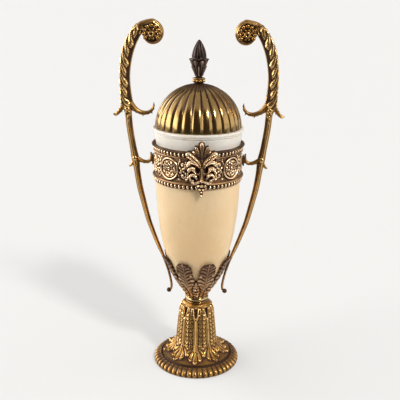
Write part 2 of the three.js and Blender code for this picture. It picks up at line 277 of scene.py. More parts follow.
def number(tree, operation, *values, clamp=False):
    """One arithmetic node; each value is a socket or a plain number."""
    node = tree.nodes.new("ShaderNodeMath")
    node.operation = operation
    node.use_clamp = clamp
    for socket, value in zip(node.inputs, values):
        if isinstance(value, (int, float)):
            socket.default_value = value
        else:
            tree.links.new(value, socket)
    return node.outputs["Value"]


def ramped(tree, value, low, high, to_low=0.0, to_high=1.0):
    """The value carried from the range low..high to the range to_low..to_high, eased."""
    node = tree.nodes.new("ShaderNodeMapRange")
    node.interpolation_type = "SMOOTHSTEP"
    for label, amount in (("From Min", low), ("From Max", high), ("To Min", to_low), ("To Max", to_high)):
        node.inputs[label].default_value = amount
    tree.links.new(value, node.inputs["Value"])
    return node.outputs["Result"]


def mixed(tree, share, first, second):
    """A blend of two colours; each is a socket or a colour."""
    node = tree.nodes.new("ShaderNodeMix")
    node.data_type = "RGBA"
    for socket, value in zip((node.inputs[0], node.inputs[6], node.inputs[7]), (share, first, second)):
        if isinstance(value, (int, float, tuple)):
            socket.default_value = value
        else:
            tree.links.new(value, socket)
    return node.outputs[2]


# %% the shared ageing of cast metal
COLOUR, VALUE = "NodeSocketColor", "NodeSocketFloat"


def build_ageing():
    """The shared group: dirt in the hollows, rub on the crests, blotches, stains and grain everywhere."""
    tree, given, out = new_group(
        "aged_metal",
        [
            ("Body", COLOUR, (0.5, 0.3, 0.1, 1)),
            ("Rubbed", COLOUR, (0.8, 0.6, 0.3, 1)),
            ("Lacquer", COLOUR, (0.05, 0.03, 0.02, 1)),
            ("Dirt", VALUE, 0.5),
            ("Rub", VALUE, 0.5),
            ("Sheen", VALUE, 0.3),
            ("Uneven", VALUE, 1.0),
        ],
        [("Color", COLOUR), ("Metallic", VALUE), ("Roughness", VALUE), ("Height", VALUE)],
    )
    place = tree.nodes.new("ShaderNodeTexCoord").outputs["Object"]
    relief = tree.nodes.new("ShaderNodeAttribute")
    relief.attribute_name = "relief"
    blotch = noise(tree, place, 55, 3)
    grain = noise(tree, place, 700, 3)
    broad = number(tree, "MULTIPLY_ADD", blotch, 0.34, -0.17)
    fine = number(tree, "MULTIPLY_ADD", grain, 0.2, -0.1)
    spots = number(tree, "ADD", broad, fine)
    uneven = number(tree, "MULTIPLY_ADD", spots, given.outputs["Uneven"], relief.outputs["Fac"])
    hollow = ramped(tree, number(tree, "SUBTRACT", given.outputs["Dirt"], uneven), -0.12, 0.22)
    crest = ramped(tree, number(tree, "SUBTRACT", uneven, given.outputs["Rub"]), 0.0, 0.3)
    metal = mixed(tree, crest, given.outputs["Body"], given.outputs["Rubbed"])
    stain = ramped(tree, noise(tree, place, 130, 4), 0.52, 0.78, 0.0, 0.4)
    metal = mixed(tree, stain, metal, given.outputs["Lacquer"])
    tree.links.new(mixed(tree, hollow, metal, given.outputs["Lacquer"]), out.inputs["Color"])
    tree.links.new(number(tree, "MULTIPLY_ADD", hollow, -0.45, 1.0), out.inputs["Metallic"])
    dull = number(tree, "MULTIPLY_ADD", hollow, 0.3, given.outputs["Sheen"])
    dull = number(tree, "MULTIPLY_ADD", stain, 0.25, dull)
    dull = number(tree, "MULTIPLY_ADD", crest, -0.06, dull)
    tree.links.new(number(tree, "MULTIPLY_ADD", grain, 0.1, dull, clamp=True), out.inputs["Roughness"])
    tree.links.new(number(tree, "MULTIPLY_ADD", blotch, 0.6, grain), out.inputs["Height"])
    return tree


AGEING = build_ageing()


def metal_finish(name, body, rubbed, lacquer, dirt, rub, sheen=0.26, bumps=0.00005, uneven=1.0):
    """One coat of finish: the shared ageing with this coat's own colours."""
    material = bpy.data.materials.new(name)
    material.use_nodes = True
    tree = material.node_tree
    shader = tree.nodes["Principled BSDF"]
    aged = tree.nodes.new("ShaderNodeGroup")
    aged.node_tree = AGEING
    for label, colour in (("Body", body), ("Rubbed", rubbed), ("Lacquer", lacquer)):
        aged.inputs[label].default_value = (*colour, 1)
    for label, amount in (("Dirt", dirt), ("Rub", rub), ("Sheen", sheen), ("Uneven", uneven)):
        aged.inputs[label].default_value = amount
    grain = tree.nodes.new("ShaderNodeBump")
    grain.inputs["Strength"].default_value = 0.5
    grain.inputs["Distance"].default_value = bumps
    tree.links.new(aged.outputs["Height"], grain.inputs["Height"])
    tree.links.new(grain.outputs["Normal"], shader.inputs["Normal"])
    tree.links.new(aged.outputs["Color"], shader.inputs["Base Color"])
    tree.links.new(aged.outputs["Metallic"], shader.inputs["Metallic"])
    tree.links.new(aged.outputs["Roughness"], shader.inputs["Roughness"])
    return material


# %% the five coats of metal
ANTIQUE_GILT = metal_finish(
    "antique_gilt", (0.425, 0.227, 0.062), (0.84, 0.55, 0.232), (0.055, 0.023, 0.009),
    dirt=0.47, rub=0.6, sheen=0.22,
)
POLISHED_BRASS = metal_finish(
    "polished_brass", (0.305, 0.195, 0.074), (0.80, 0.66, 0.42), (0.05, 0.02, 0.01),
    dirt=0.42, rub=0.68, sheen=0.135, bumps=0.000005, uneven=0.25,
)
ROSY_GILT = metal_finish(
    "rosy_gilt", (0.47, 0.275, 0.132), (0.97, 0.70, 0.44), (0.04, 0.018, 0.009),
    dirt=0.51, rub=0.58,
)
BROWN_BRONZE = metal_finish(
    "brown_bronze", (0.25, 0.138, 0.074), (0.70, 0.47, 0.27), (0.04, 0.019, 0.014),
    dirt=0.42, rub=0.57, sheen=0.3,
)
BLACK_BRONZE = metal_finish(
    "black_bronze", (0.050, 0.033, 0.028), (0.38, 0.26, 0.20), (0.012, 0.009, 0.009),
    dirt=0.4, rub=0.64, sheen=0.3,
)
print("metal finishes ready")


# %% [markdown]
# ## Alabaster
# The stone is honey-coloured below the collar and almost white above it. It takes a soft polish, lets a
# little light in, and carries faint clouds and a few hair-thin veins. Turning marks show only as a whisper
# in the gloss.


# %% the stone's finish
def stone_finish():
    """Alabaster, honey below the collar and white above, clouded, thinly veined and softly polished."""
    material = bpy.data.materials.new("alabaster")
    material.use_nodes = True
    tree = material.node_tree
    shader = tree.nodes["Principled BSDF"]
    place = tree.nodes.new("ShaderNodeTexCoord").outputs["Object"]
    height = tree.nodes.new("ShaderNodeSeparateXYZ")
    tree.links.new(place, height.inputs["Vector"])
    clouds = noise(tree, place, 14, 5, 0.6)
    wisps = noise(tree, place, 30, 6, 0.65, (1, 1, 0.35))
    vein = number(tree, "ABSOLUTE", number(tree, "SUBTRACT", wisps, 0.5))
    vein = ramped(tree, vein, 0.0, 0.02, 0.1, 0.0)
    middle = (COLLAR_LOW[2] + COLLAR_HIGH[2]) / 2 * MM
    upper = ramped(tree, height.outputs["Z"], middle, middle + 0.012)
    lower = ramped(tree, height.outputs["Z"], VESSEL_LOW[2] * MM, middle)
    honey = mixed(tree, lower, (0.75, 0.51, 0.245, 1), (0.82, 0.605, 0.35, 1))
    honey = mixed(tree, ramped(tree, clouds, 0.4, 0.75), honey, (0.83, 0.65, 0.42, 1))
    white = mixed(tree, ramped(tree, clouds, 0.4, 0.7), (0.83, 0.78, 0.70, 1), (0.90, 0.87, 0.81, 1))
    stone = mixed(tree, upper, honey, white)
    stone = mixed(tree, vein, stone, (0.55, 0.36, 0.17, 1))
    tree.links.new(stone, shader.inputs["Base Color"])
    rings = noise(tree, place, 90, 2, 0.5, (0.05, 0.05, 6))
    gloss = number(tree, "MULTIPLY_ADD", rings, 0.08, 0.24)
    tree.links.new(number(tree, "MULTIPLY_ADD", clouds, 0.1, gloss), shader.inputs["Roughness"])
    shader.inputs["Subsurface Weight"].default_value = 0.18
    shader.inputs["Subsurface Radius"].default_value = (1.0, 0.55, 0.25)
    shader.inputs["Subsurface Scale"].default_value = 0.004
    shader.inputs["Specular IOR Level"].default_value = 0.5
    return material


ALABASTER = stone_finish()
print("stone finish ready")

# %% [markdown]
# ## The foot
# A round casting. The border is a row of gadroons: round-ended flutes that run in from the rim, each with a
# hollow beside it. Inside a dark groove a low mound rises into a bell. Nine acanthus leaves hang down the
# bell. Each has a slot between two slender rolls at the top, a smooth stem with rows of small overlapping
# leaflets at its sides, and a fan of lobes that spreads on the mound and curls up at the tips. Cast whole,
# then chased.

# %% foot: one leaf of the bell
GADROONS, BELL_LEAVES = 48, 9


def hanging_leaf(x, w, half):
    """Height of one leaf: x runs across it, w up from the mound's edge, and half is its room to each side."""
    side = np.abs(x)
    # the fan on the mound
    root = 27.0
    spread = np.degrees(np.arctan2(side, root - w))
    reach = np.hypot(side, root - w)
    bent = spread + 0.35 * np.maximum(reach - 12, 0) * smooth(8, 30, spread)
    ridge = np.abs(np.cos(np.radians(bent * 8.2)))
    edge = (27.6 - 11.5 * np.clip(spread / 60, 0, 1.4) ** 0.9) * (0.78 + 0.22 * ridge**0.7)
    inside = (1 - smooth(edge - 0.6, edge + 0.4, reach)) * (w < root)
    curl = bump(reach - edge + 1.6, 1.4) * ridge**2
    fan = inside * (0.4 + 1.5 * ridge * smooth(4, 13, reach) + 1.3 * curl)
    # the smooth stem
    stem_half = np.interp(w, [14, 22, 32, 46, 60, 69], [4.6, 3.4, 3.2, 3.8, 2.6, 1.4])
    on_stem = smooth(9, 22, w) * (1 - smooth(69, 73, w))
    stem = 1.9 * np.sqrt(np.clip(1 - (side / stem_half) ** 2, 0, 1))
    stem = on_stem * (stem + 0.3 * bump(side, 0.6) - 0.3 * bump(side - 1.5, 0.5))
    # the leaflets beside it
    room = np.maximum(half - 1.0 - stem_half, 0.5)
    t = np.clip((side - stem_half - 0.2) / room * 2 - 1, -1.2, 1.2)
    step = ((w - 2.4 * t**2 + 0.6 * t) / 5.8) % 1
    leaflets = (0.3 + 1.5 * (1 - step) ** 0.8) * np.clip(1 - t**4, 0, 1) ** 0.5
    leaflets *= smooth(20, 27, w) * (1 - smooth(70, 75, w))
    chain = bump(half - side, 0.7) * (0.5 + 0.5 * np.abs(np.cos(math.pi * w / 3.15)))
    chain *= smooth(26, 32, w) * (1 - smooth(76, 79, w))
    # the slot between two rolls
    slot_half = np.interp(w, [62, 79.0], [0.2, 2.5])
    rolls = 1.7 * bump(side - slot_half - 1.2, 1.0) * smooth(58, 66, w) * (1 - smooth(79, 81, w))
    outer_roll = 1.3 * bump(side - half + 1.8, 1.1) * smooth(66, 72, w) * (1 - smooth(79, 81, w))
    slot = 2.4 * (1 - smooth(slot_half - 0.5, slot_half + 0.4, side))
    slot = slot * smooth(63, 69, w) * (1 - smooth(78.6, 80.2, w))
    height = np.maximum.reduce([fan, stem, leaflets, chain, rolls, outer_roll])
    return height - slot


# %% foot: border, mound and bell
def make_foot():
    """The whole casting, from the floor up over the border and the mound to the top of the bell."""
    rim, top = FOOT_HIGH[0], FOOT_HIGH[2]
    border = [
        (rim - 1.6, 0), (rim - 0.9, 0.5), (rim - 0.3, 2.2), (rim - 0.5, 4.2), (rim - 1.6, 6.2),
        (rim - 3.8, 8.1), (rim - 7, 9.7), (rim - 9.8, 10.6), (rim - 11.2, 10.5),
    ]
    mound = [
        (rim - 12, 11.3), (rim - 12.2, 12.4), (rim - 13, 13.2), (rim - 14.6, 13.7), (rim - 22.4, 17.2),
        (rim - 28.3, 23.2),
    ]
    bell = [
        (26.1, 33), (25.1, 44), (23.9, 55), (22.2, 75), (20.6, 81), (19.2, 84.3), (17.6, 86.4), (15.8, top),
    ]
    line = evenly(rounded(border + mound + bell, 10), 166)
    base, angle = turned(line, 12 * GADROONS)
    radius = line[:, :1]
    travelled = distances(line)
    edge = np.interp(rim - 12.9, radius[::-1, 0], travelled[::-1])
    w = (travelled - edge)[:, None]
    lobe = np.abs(np.cos(GADROONS / 2 * angle))[None, :]
    depth = 1.1 * smooth(rim - 8.5, rim - 2.2, radius)
    flutes = -(0.7 + depth) * (1 - lobe**0.62) * smooth(rim - 11.4, rim - 9.6, radius)
    flutes += 0.35 * bump(radius - rim + 2.6, 2.2) * lobe**3 - 0.3 * bump(radius - rim + 7.2, 1.2)
    phase = (angle[None, :] * BELL_LEAVES / TAU + 0.5) % 1 - 0.5
    half = math.pi / BELL_LEAVES * radius
    leaves = hanging_leaf(phase * 2 * half, w, half) * smooth(-0.3, 0.8, w)
    lip = 0.5 * bump(w - 81.6, 0.6) + 0.45 * bump(w + 0.6, 0.7)
    height = np.where(w < -1.2, flutes, leaves + lip)
    groove = -0.9 * bump(radius - rim + 11.3, 0.9)
    surface = raised(base, (height + groove) * smooth(0.0, 1.5, line[:, 1:2]))
    relief = relief_of(height + groove, 6, 9, 0.9)
    relief = np.where(radius > rim - 31, 0.44 + 0.6 * (relief - 0.5), relief)
    relief = np.where(radius > rim - 11, 0.43 + 0.58 * (relief - 0.5), relief)
    relief = np.where((w > 82.4) & (w < 92), np.maximum(relief, 0.6), relief)
    inner_end, outer_end = smooth(rim - 12, rim - 10, radius), smooth(rim - 5, rim - 2.5, radius)
    relief -= 0.55 * bump(radius - rim + 11.3, 1.2) + 0.06 * inner_end * (1 - outer_end)
    shell = Shell()
    shell.grid(surface, np.clip(relief, 0, 1), caps=(True, True))
    return shell.object("foot_casting", "antique_gilt", ANTIQUE_GILT, "foot")


make_foot()

# %% [markdown]
# ## The neck ring
# A small turned ring between bell and calyx: a round bead between two thin fillets, polished.


# %% neck ring
def make_neck_ring():
    """A fillet, the bead and a fillet, turned in one piece."""
    low, high, wide = NECK_LOW[2], NECK_HIGH[2], NECK_HIGH[0]
    columns = 96
    line = rounded(
        [
            (wide - 1.4, low), (wide - 1.0, low + 0.5), (wide - 1.3, low + 1.4), (wide - 2.2, low + 1.9),
            (wide - 1.2, low + 2.9), (wide - 0.1, low + 5.0), (wide - 0.9, low + 7.0),
            (wide - 2.3, low + 7.9), (wide - 1.9, low + 8.5), (wide - 2.4, high),
        ],
        6,
    )
    base, _ = turned(line, columns)
    out = line[:, :1] - blurred(line[:, :1], 5, 0)
    shell = Shell()
    shell.grid(base, np.clip(0.55 + 0.5 * out, 0, 1) * np.ones((1, columns)), caps=(True, True))
    return shell.object("neck_bead", "polished_brass", POLISHED_BRASS, "neck_ring")


make_neck_ring()

# %% [markdown]
# ## The vessel
# The stone is turned hollow with a six-millimetre wall: an egg below the collar, a slightly flared neck
# above it, and a lip with two fine lines cut under it. The same egg curve shapes the inside of the calyx.

# %% vessel
WALL = 6.0
BELLY = COLLAR_LOW[2] - 3.4
STONE_R = 53.8
# The stone's flat end lies this far above the point that its egg curve would have.
POINT = 4.4


def egg(z, radius=STONE_R, lowest=VESSEL_LOW[2] - POINT):
    """Radius of the egg at a height, in millimetres."""
    depth = np.clip((BELLY - np.asarray(z, float)) / (BELLY - lowest), 0, 1)
    return radius * (1 - depth**2.08) ** (1 / 1.8)


def make_vessel():
    """Up the outside, over the lip and down the inside, as one turned wall."""
    low, rim = VESSEL_LOW[2], VESSEL_HIGH[2]
    floor = low + 8.6
    turn = np.linspace(math.acos((BELLY - low) / (BELLY - low + POINT)), math.pi / 2, 60)
    outside_z = BELLY - (BELLY - low + POINT) * np.cos(turn)
    outside = np.stack([egg(outside_z), outside_z], 1)
    neck = rounded(
        [
            (STONE_R, BELLY), (STONE_R - 0.3, BELLY + 8), (STONE_R - 0.4, COLLAR_HIGH[2] - 8),
            (STONE_R - 0.3, COLLAR_HIGH[2]), (STONE_R + 0.6, rim - 14.6), (STONE_R + 1.4, rim - 9.6),
            (STONE_R + 1.8, rim - 6.7), (STONE_R + 1.3, rim - 6.1), (STONE_R + 2.2, rim - 5.5),
            (STONE_R + 2.9, rim - 4.3), (STONE_R + 2.3, rim - 3.7), (STONE_R + 3.2, rim - 3.1),
            (STONE_R + 3.6, rim - 2.1), (STONE_R + 3.4, rim - 0.8), (STONE_R + 2.7, rim),
            (STONE_R - WALL + 1.2, rim), (STONE_R - WALL, rim - 1.3),
        ],
        5,
    )
    inner = np.linspace(math.pi / 2, 0.02, 40)
    inside_z = BELLY - (BELLY - floor) * np.cos(inner)
    inside = np.stack([egg(inside_z, STONE_R - WALL, floor), inside_z], 1)
    line = np.concatenate([outside[:-1], neck, inside])
    base, _ = turned(line, 120)
    shell = Shell()
    shell.grid(base, caps=(True, True))
    return shell.object("stone_vessel", "alabaster", ALABASTER, "vessel", sharp=70)


make_vessel()

# %% [markdown]
# ## The calyx
# Eight broad leaves grow from one small cup and clasp the stone. The rims are scalloped, a strong rib runs
# up each leaf, side ribs branch from it like a herring's bones, and the tips turn out from the stone. Where
# two leaves part, a small stack of lobes fills the gap. The bronze is brown, rubbed lighter on the ribs.
# The columns of the grid fan out from the cup to points spaced evenly along the rim, so the scallops stay
# crisp on the steep sides too.


# %% calyx: the rim of a leaf
CALYX_LEAVES = 8


def leaf_rim(low, high, side_columns):
    """Half a leaf's scalloped rim, from the tip to the notch: share of the half pitch, and height."""
    rim = rounded(
        [
            (0, 1), (0.25, 0.985), (0.45, 0.93), (0.6, 0.82), (0.68, 0.66), (0.72, 0.48), (0.78, 0.28),
            (0.87, 0.12), (1, 0),
        ],
        14,
    )
    z = low + (high - low) * rim[:, 1]
    x = rim[:, 0] * math.pi / CALYX_LEAVES * egg(z)
    gone = distances(np.stack([x, z], 1))
    at = np.linspace(0, gone[-1], side_columns + 1)
    x, z = np.interp(at, gone, x), np.interp(at, gone, z)
    depth = 1.5 * (1 - np.abs(np.cos(math.pi * at / 6.3)) ** 0.8)
    depth = depth * smooth(1, 4, at) * smooth(0, 5, gone[-1] - at)
    lean_x, lean_z = np.gradient(x), np.gradient(z)
    long = np.hypot(lean_x, lean_z)
    x, z = x + depth * lean_z / long, z - depth * lean_x / long
    return x / (math.pi / CALYX_LEAVES * egg(z)), z


# %% calyx: cup and leaves
def make_calyx():
    """Outside from the cup up to the scalloped rim, then down the inside to the seat of the stone."""
    low, tip = CALYX_LOW[2], CALYX_HIGH[2] + 0.8
    notch, half_columns, rows = tip - 30, 36, 80
    half_off, half_z = leaf_rim(notch, tip, half_columns)
    order = np.concatenate([np.arange(half_columns, 0, -1), np.arange(half_columns)])
    side = np.concatenate([-np.ones(half_columns), np.ones(half_columns)])
    rim_off = np.tile(half_off[order] * side, CALYX_LEAVES)
    edge = np.tile(half_z[order], CALYX_LEAVES)[None, :]
    base_off = np.tile(order / half_columns * side, CALYX_LEAVES)
    centre = np.repeat((np.arange(CALYX_LEAVES) + 0.5) * TAU / CALYX_LEAVES, 2 * half_columns)
    share = np.linspace(0, 1, rows)[:, None] ** 0.9
    off = base_off + (rim_off - base_off) * smooth(0.1, 1, share)
    angle = centre + off * math.pi / CALYX_LEAVES
    z = low + (edge - low) * share
    cup = np.interp(z, [low, low + 1.6, low + 8.6, low + 16.6], [13.9, 15.2, 19.6, egg(low + 16.6) + 3.0])
    body = np.where(z < low + 16.6, cup, egg(z) + 2.4)
    x = np.abs(off) * math.pi / CALYX_LEAVES * body
    up = z - low
    rib = 1.0 * bump(x, 0.8) * smooth(8, 16, up) + 0.5 * bump(x - 1.5, 0.5) * smooth(8, 16, up)
    bones = np.abs(np.cos(math.pi * (z - 1.1 * x + 0.05 * x**2) / 5.4))
    leaf = 0.3 + 0.9 * bones**0.7 * smooth(0.8, 2.6, x) * smooth(12, 20, up)
    curls = dome(x - 8.2, (up - 29) % 7.2 - 3.6, 2.6, 3.3) * (up > 21) * (up < 43)
    leaf = np.maximum(leaf, 1.7 * curls)
    to_rim = 1 - share
    leaf *= 0.2 + 0.8 * smooth(0.0, 0.045, to_rim)
    leaf += 0.35 * bump(to_rim, 0.03)
    gap = (1 - np.abs(off)) * math.pi / CALYX_LEAVES * body
    stack_half = np.interp(up, [2, 10, 20, 29], [2.6, 4.4, 3.8, 0.4])
    step = ((up - 0.1 * gap**2) / 5.4) % 1
    stack = (0.5 + 1.7 * step**0.7) * np.sqrt(np.clip(1 - (gap / stack_half) ** 2, 0, 1)) * (up < 29)
    holes = 1.3 * bump(gap - stack_half - 0.9, 0.8)
    holes = holes * (0.35 + 0.65 * np.abs(np.cos(math.pi * up / 5.4))) * (up < 30)
    height = np.maximum(rib + leaf, stack) - holes
    tip_share = 1 - rim_off**2
    fold = 2.2 * smooth(0.84, 1, share) * tip_share * smooth(notch + 4, notch + 18, z)
    outside = raised(around(body, z, angle), height + fold)
    relief = relief_of(height, 6, 8, 0.7)
    lighter = 0.16 * (1 - smooth(14, 36, up)) - 0.06 * smooth(34, 48, up)
    relief = np.clip(relief + lighter, 0, 1)
    inner_rows = 14
    down = np.linspace(1, 0, inner_rows)[:, None]
    inner_off = base_off + (rim_off - base_off) * smooth(0.1, 1, down)
    inner_z = low + 11 + (edge - 0.25 - low - 11) * down
    hook = 1.7 * smooth(0.84, 1, down) * tip_share * smooth(notch + 4, notch + 18, inner_z)
    inside = around(egg(inner_z) + 0.9 + hook, inner_z, centre + inner_off * math.pi / CALYX_LEAVES)
    seat = around(np.full((1, len(centre)), 12.0), low + 4.6, centre + base_off * math.pi / CALYX_LEAVES)
    surface = np.concatenate([outside, inside, seat])
    marks = np.concatenate([relief, np.full((inner_rows + 1, len(centre)), 0.3)])
    shell = Shell()
    shell.grid(surface, marks, caps=(True, True))
    return shell.object("leaf_calyx", "brown_bronze", BROWN_BRONZE, "calyx", sharp=60)


make_calyx()

# %% [markdown]
# ## The collar
# A cast band round the vessel. From the bottom: a row of small teeth, a round roll, the frieze, a thin
# fillet, another row of teeth and the top roll, which flares out. The frieze holds four wreathed
# medallions, and between them runs scrolling foliage. The pattern is drawn once, from the middle of the
# mask to the side of the urn, and mirrored: the founder's pattern maker would have cut one quarter too.

# %% collar ornament
MEDALLION_U, MEDALLION_V = 42.0, 0.0
TEETH = 64
COLLAR_TURN = 6.0


def wreath(u, v):
    """A medallion: a plain frame, and in it a whirl of lobed leaves round a boss."""
    out = np.hypot(u, v)
    turn = np.arctan2(v, u)
    frame_ring = 2.1 * dome(out - 13.0, 0 * out, 1.35, 1)
    whirl = turn + 0.17 * out
    leaves = 0.4 + 1.5 * np.abs(np.cos(3.5 * whirl)) ** 0.7
    leaves *= smooth(2.2, 4.2, out)
    leaves *= 1 - smooth(9.6, 11.0, out)
    leaves *= 0.68 + 0.32 * np.cos(2.4 * out - 2 * np.cos(7 * whirl))
    tips = 1.9 * bump(out - 9.0, 1.3) * np.abs(np.cos(3.5 * whirl - 0.5)) ** 3
    boss = 2.0 * dome(u, v, 2.4, 2.4) - 1.1 * dome(u, v, 0.9, 0.9)
    ground = -1.0 * bump(out - 11.2, 0.55) - 0.9 * bump(out - 14.6, 0.6)
    return np.maximum.reduce([frame_ring, leaves, tips, boss]) + ground


def scroll(u, v, centre, radius, hand, start=0.0):
    """A spiral stem that winds into an eye, with small leaves along its outer side."""
    du, dv = u - centre[0], v - centre[1]
    out = np.maximum(np.hypot(du, dv), 0.2)
    turn = np.arctan2(dv, du) * hand + start
    wind = (np.log(out / radius) / 0.21 - turn) / TAU
    ridge = 0.5 + 0.5 * np.cos(TAU * wind)
    leafy = 0.75 + 0.25 * np.cos(7 * turn)
    rim = 1 - smooth(radius - 0.6, radius + 0.9, out)
    eye = 1.5 * dome(du, dv, 1.6, 1.6)
    return np.maximum(1.5 * ridge**1.6 * leafy * rim, eye)


def frieze(u, v):
    """Height of the frieze: u from the mask's middle line, v from the frieze's."""
    parts = [
        scroll(u, v, (22.6, 6.2), 6.2, 1),
        scroll(u, v, (22.0, -6.4), 6.0, -1, 0.8),
        scroll(u, v, (62.2, 6.0), 6.4, -1, 2.0),
        scroll(u, v, (61.6, -7.0), 6.0, 1, 2.6),
        scroll(u, v, (74.6, 5.2), 6.2, 1, 1.0),
        scroll(u, v, (74.2, -7.0), 6.0, -1, 0.4),
    ]
    fan = np.arctan2(u - 86.7, v + 12.5)
    far = np.hypot(u - 86.7, v + 12.5)
    rays = 1.5 * np.abs(np.cos(5 * fan)) * smooth(2, 9, far)
    parts.append(rays * (1 - smooth(21, 23.5, far)) * (np.abs(fan) < 0.5))
    berries = np.random.default_rng(11)
    for _ in range(46):
        at_u, at_v = berries.uniform(14, 88), berries.uniform(-12.4, 12.4)
        if math.hypot(at_u - MEDALLION_U, at_v - MEDALLION_V) > 15.2:
            long, wide = berries.uniform(1.6, 2.6), berries.uniform(0.9, 1.3)
            lean = berries.uniform(0, math.pi)
            du, dv = u - at_u, v - at_v
            along = du * math.cos(lean) + dv * math.sin(lean)
            aside = dv * math.cos(lean) - du * math.sin(lean)
            parts.append(1.35 * dome(along, aside, long, wide))
    field = np.maximum.reduce(parts)
    in_wreath = 1 - smooth(14.3, 15.2, np.hypot(u - MEDALLION_U, v - MEDALLION_V))
    field = field * (1 - in_wreath) + wreath(u - MEDALLION_U, v - MEDALLION_V) * in_wreath
    return field * (1 - smooth(13.7, 14.6, np.abs(v)))


# %% collar: the band
def make_collar():
    """One closed ring: teeth, roll, frieze, fillet, teeth and roll outside, and a plain bore inside."""
    low, high = COLLAR_LOW[2], COLLAR_HIGH[2]
    bore, face = 54.3, 55.1
    low_teeth = [(bore, low), (55.5, low + 0.05), (55.9, low + 0.6), (55.9, low + 5.5)]
    low_roll = [(56.8, low + 5.9), (57.9, low + 6.5), (58.1, low + 7.4), (57.6, low + 8.3), (56.4, low + 8.8)]
    fillet = [(56.4, low + 38.9), (57.1, low + 39.5), (56.6, low + 40.1)]
    top_roll = [
        (57.6, low + 45.4), (58.7, low + 46.0), (58.9, low + 46.8), (58.3, low + 47.6), (56.8, low + 47.9),
    ]
    line = np.concatenate(
        [
            evenly(np.array(low_teeth), 16),
            evenly(rounded(low_roll, 5), 12)[1:],
            evenly(np.array([(face, low + 9.2), (face, low + 38.6)]), 60),
            evenly(rounded(fillet, 4), 5),
            evenly(np.array([(56.2, low + 40.3), (56.7, low + 45.2)]), 12),
            evenly(rounded(top_roll, 5), 9),
            [(bore, high), (bore, (low + high) / 2)],
        ]
    )
    base, angle = turned(line, 13 * TEETH)
    radius, z = line[:, :1], line[:, 1:2]
    degrees = np.degrees(angle)
    to_mask = np.abs((degrees + 90) % 180 - 90)[None, :]
    height = frieze(np.radians(to_mask) * face, z - (low + 23.8)) * (radius < face + 0.01)
    tooth = (angle * TEETH / TAU + 0.5) % 1 - 0.5
    for foot_z, head_z in ((low + 0.6, low + 5.6), (low + 40.2, low + 45.2)):
        middle, half = (foot_z + head_z) / 2, (head_z - foot_z) / 2
        bead = dome(tooth[None, :] / 0.33, (z - middle) / half, 1, 1.02)
        zone = (np.abs(z - middle) < half) & (radius > bore + 0.5)
        height = np.where(zone, 1.7 * bead - 0.8, height)
    surface = raised(base, height)
    relief = relief_of(height, 5, 6, 0.8)
    relief = np.where(z > low + 45.3, 0.36, relief)
    shell = Shell()
    shell.grid(np.concatenate([surface, surface[:1]]), np.concatenate([relief, relief[:1]]))
    return shell.object("cast_collar", "rosy_gilt", ROSY_GILT, "collar", turn=COLLAR_TURN, sharp=60)


make_collar()

# %% [markdown]
# ## The masks
# Over the collar, front and back, sits a leafy grotesque: a cartouche built from foliage, as such mounts
# often are. A tuft of five leaflets stands on the brow. Two long leaves sweep out from the bridge and curl
# at their tips. Under them lie two hollows, a narrow ridge between, broad leaves curled over at the sides
# and a tassel of berries below. The design is a general one, drawn here from eggs, ridges and grooves. The
# one at the back is the same, with less chasing.


# %% mask: a leaf along a line
def stroke(x, z, points, width, height, vein=0.0):
    """A leaf or ridge along a curved line. Each point of the line is (x, z, share of the full width)."""
    path = rounded(points, 10)
    away = np.full(x.shape, 1e9)
    half = np.ones(x.shape)
    for px, pz, share in path:
        step = np.hypot(x - px, z - pz)
        nearer = step < away
        away = np.where(nearer, step, away)
        half = np.where(nearer, max(share, 0.05) * width, half)
    out = height * np.sqrt(np.clip(1 - (away / half) ** 2, 0, 1))
    return out - vein * bump(away, 0.45) * (out > 0)


# %% mask: its leaves and berries
BROW = [
    (1.0, 35.5, 0.4), (3.4, 41.6, 0.8), (7.4, 46.8, 1.0), (12.0, 50.8, 1.0), (15.6, 53.6, 0.8),
    (17.6, 54.2, 0.45),
]
# The leaves of one side. Each has its line, half its width, its height and the depth of its vein.
FACE_LEAVES = [
    # tuft of five leaflets
    ([(0, 44, 0.5), (0, 56, 0.9), (0, 63, 1.1), (0, 68.4, 0.5)], 3.0, 4.2, 1.3),
    ([(0.6, 42, 0.4), (2.6, 50, 0.8), (5.2, 57, 1.1), (6.4, 61.5, 0.7), (7.9, 63.0, 0.3)], 2.7, 4.0, 1.2),
    ([(1.2, 42, 0.3), (4.6, 49.0, 0.8), (8.0, 54.6, 1.0), (10.2, 57.6, 0.5)], 2.2, 3.8, 0.9),
    # long brow leaves
    (BROW, 4.4, 5.6, 1.2),
    # broad leaves curled over the cheeks, and the lower lobes
    ([(4.2, 41.0, 0.5), (8.6, 44.0, 0.95), (12.8, 44.0, 1.0), (16.0, 40.2, 0.7)], 3.5, 6.4, 0.8),
    ([(6.4, 31.6, 0.5), (9.2, 35.8, 1.0), (12.4, 36.6, 1.0), (15.2, 33.4, 0.6)], 3.6, 6.2, 0.8),
    ([(5.4, 24.6, 0.5), (8.0, 28.4, 1.0), (11.4, 29.0, 0.9), (14.0, 26.0, 0.5)], 3.0, 5.6, 0.7),
    ([(17.0, 47.5, 0.5), (18.0, 42.0, 1.0), (17.0, 35.6, 1.0), (15.6, 30.6, 0.6)], 1.6, 5.0, 0.6),
    ([(16.0, 31.0, 0.4), (15.4, 26.0, 1.0), (12.6, 22.4, 1.0), (9.6, 22.0, 0.6)], 2.0, 4.8, 0.6),
    # narrow ridge down the middle
    ([(0, 39, 0.6), (0, 31, 1.0), (0, 25.5, 1.5), (0, 22.0, 1.9), (0, 20.5, 1.2)], 1.4, 6.9, 0.0),
    # low side leaves
    ([(1.0, 21.0, 0.6), (4.2, 19.8, 1.0), (8.0, 18.6, 1.0), (11.0, 20.6, 0.8)], 2.3, 5.0, 1.0),
]
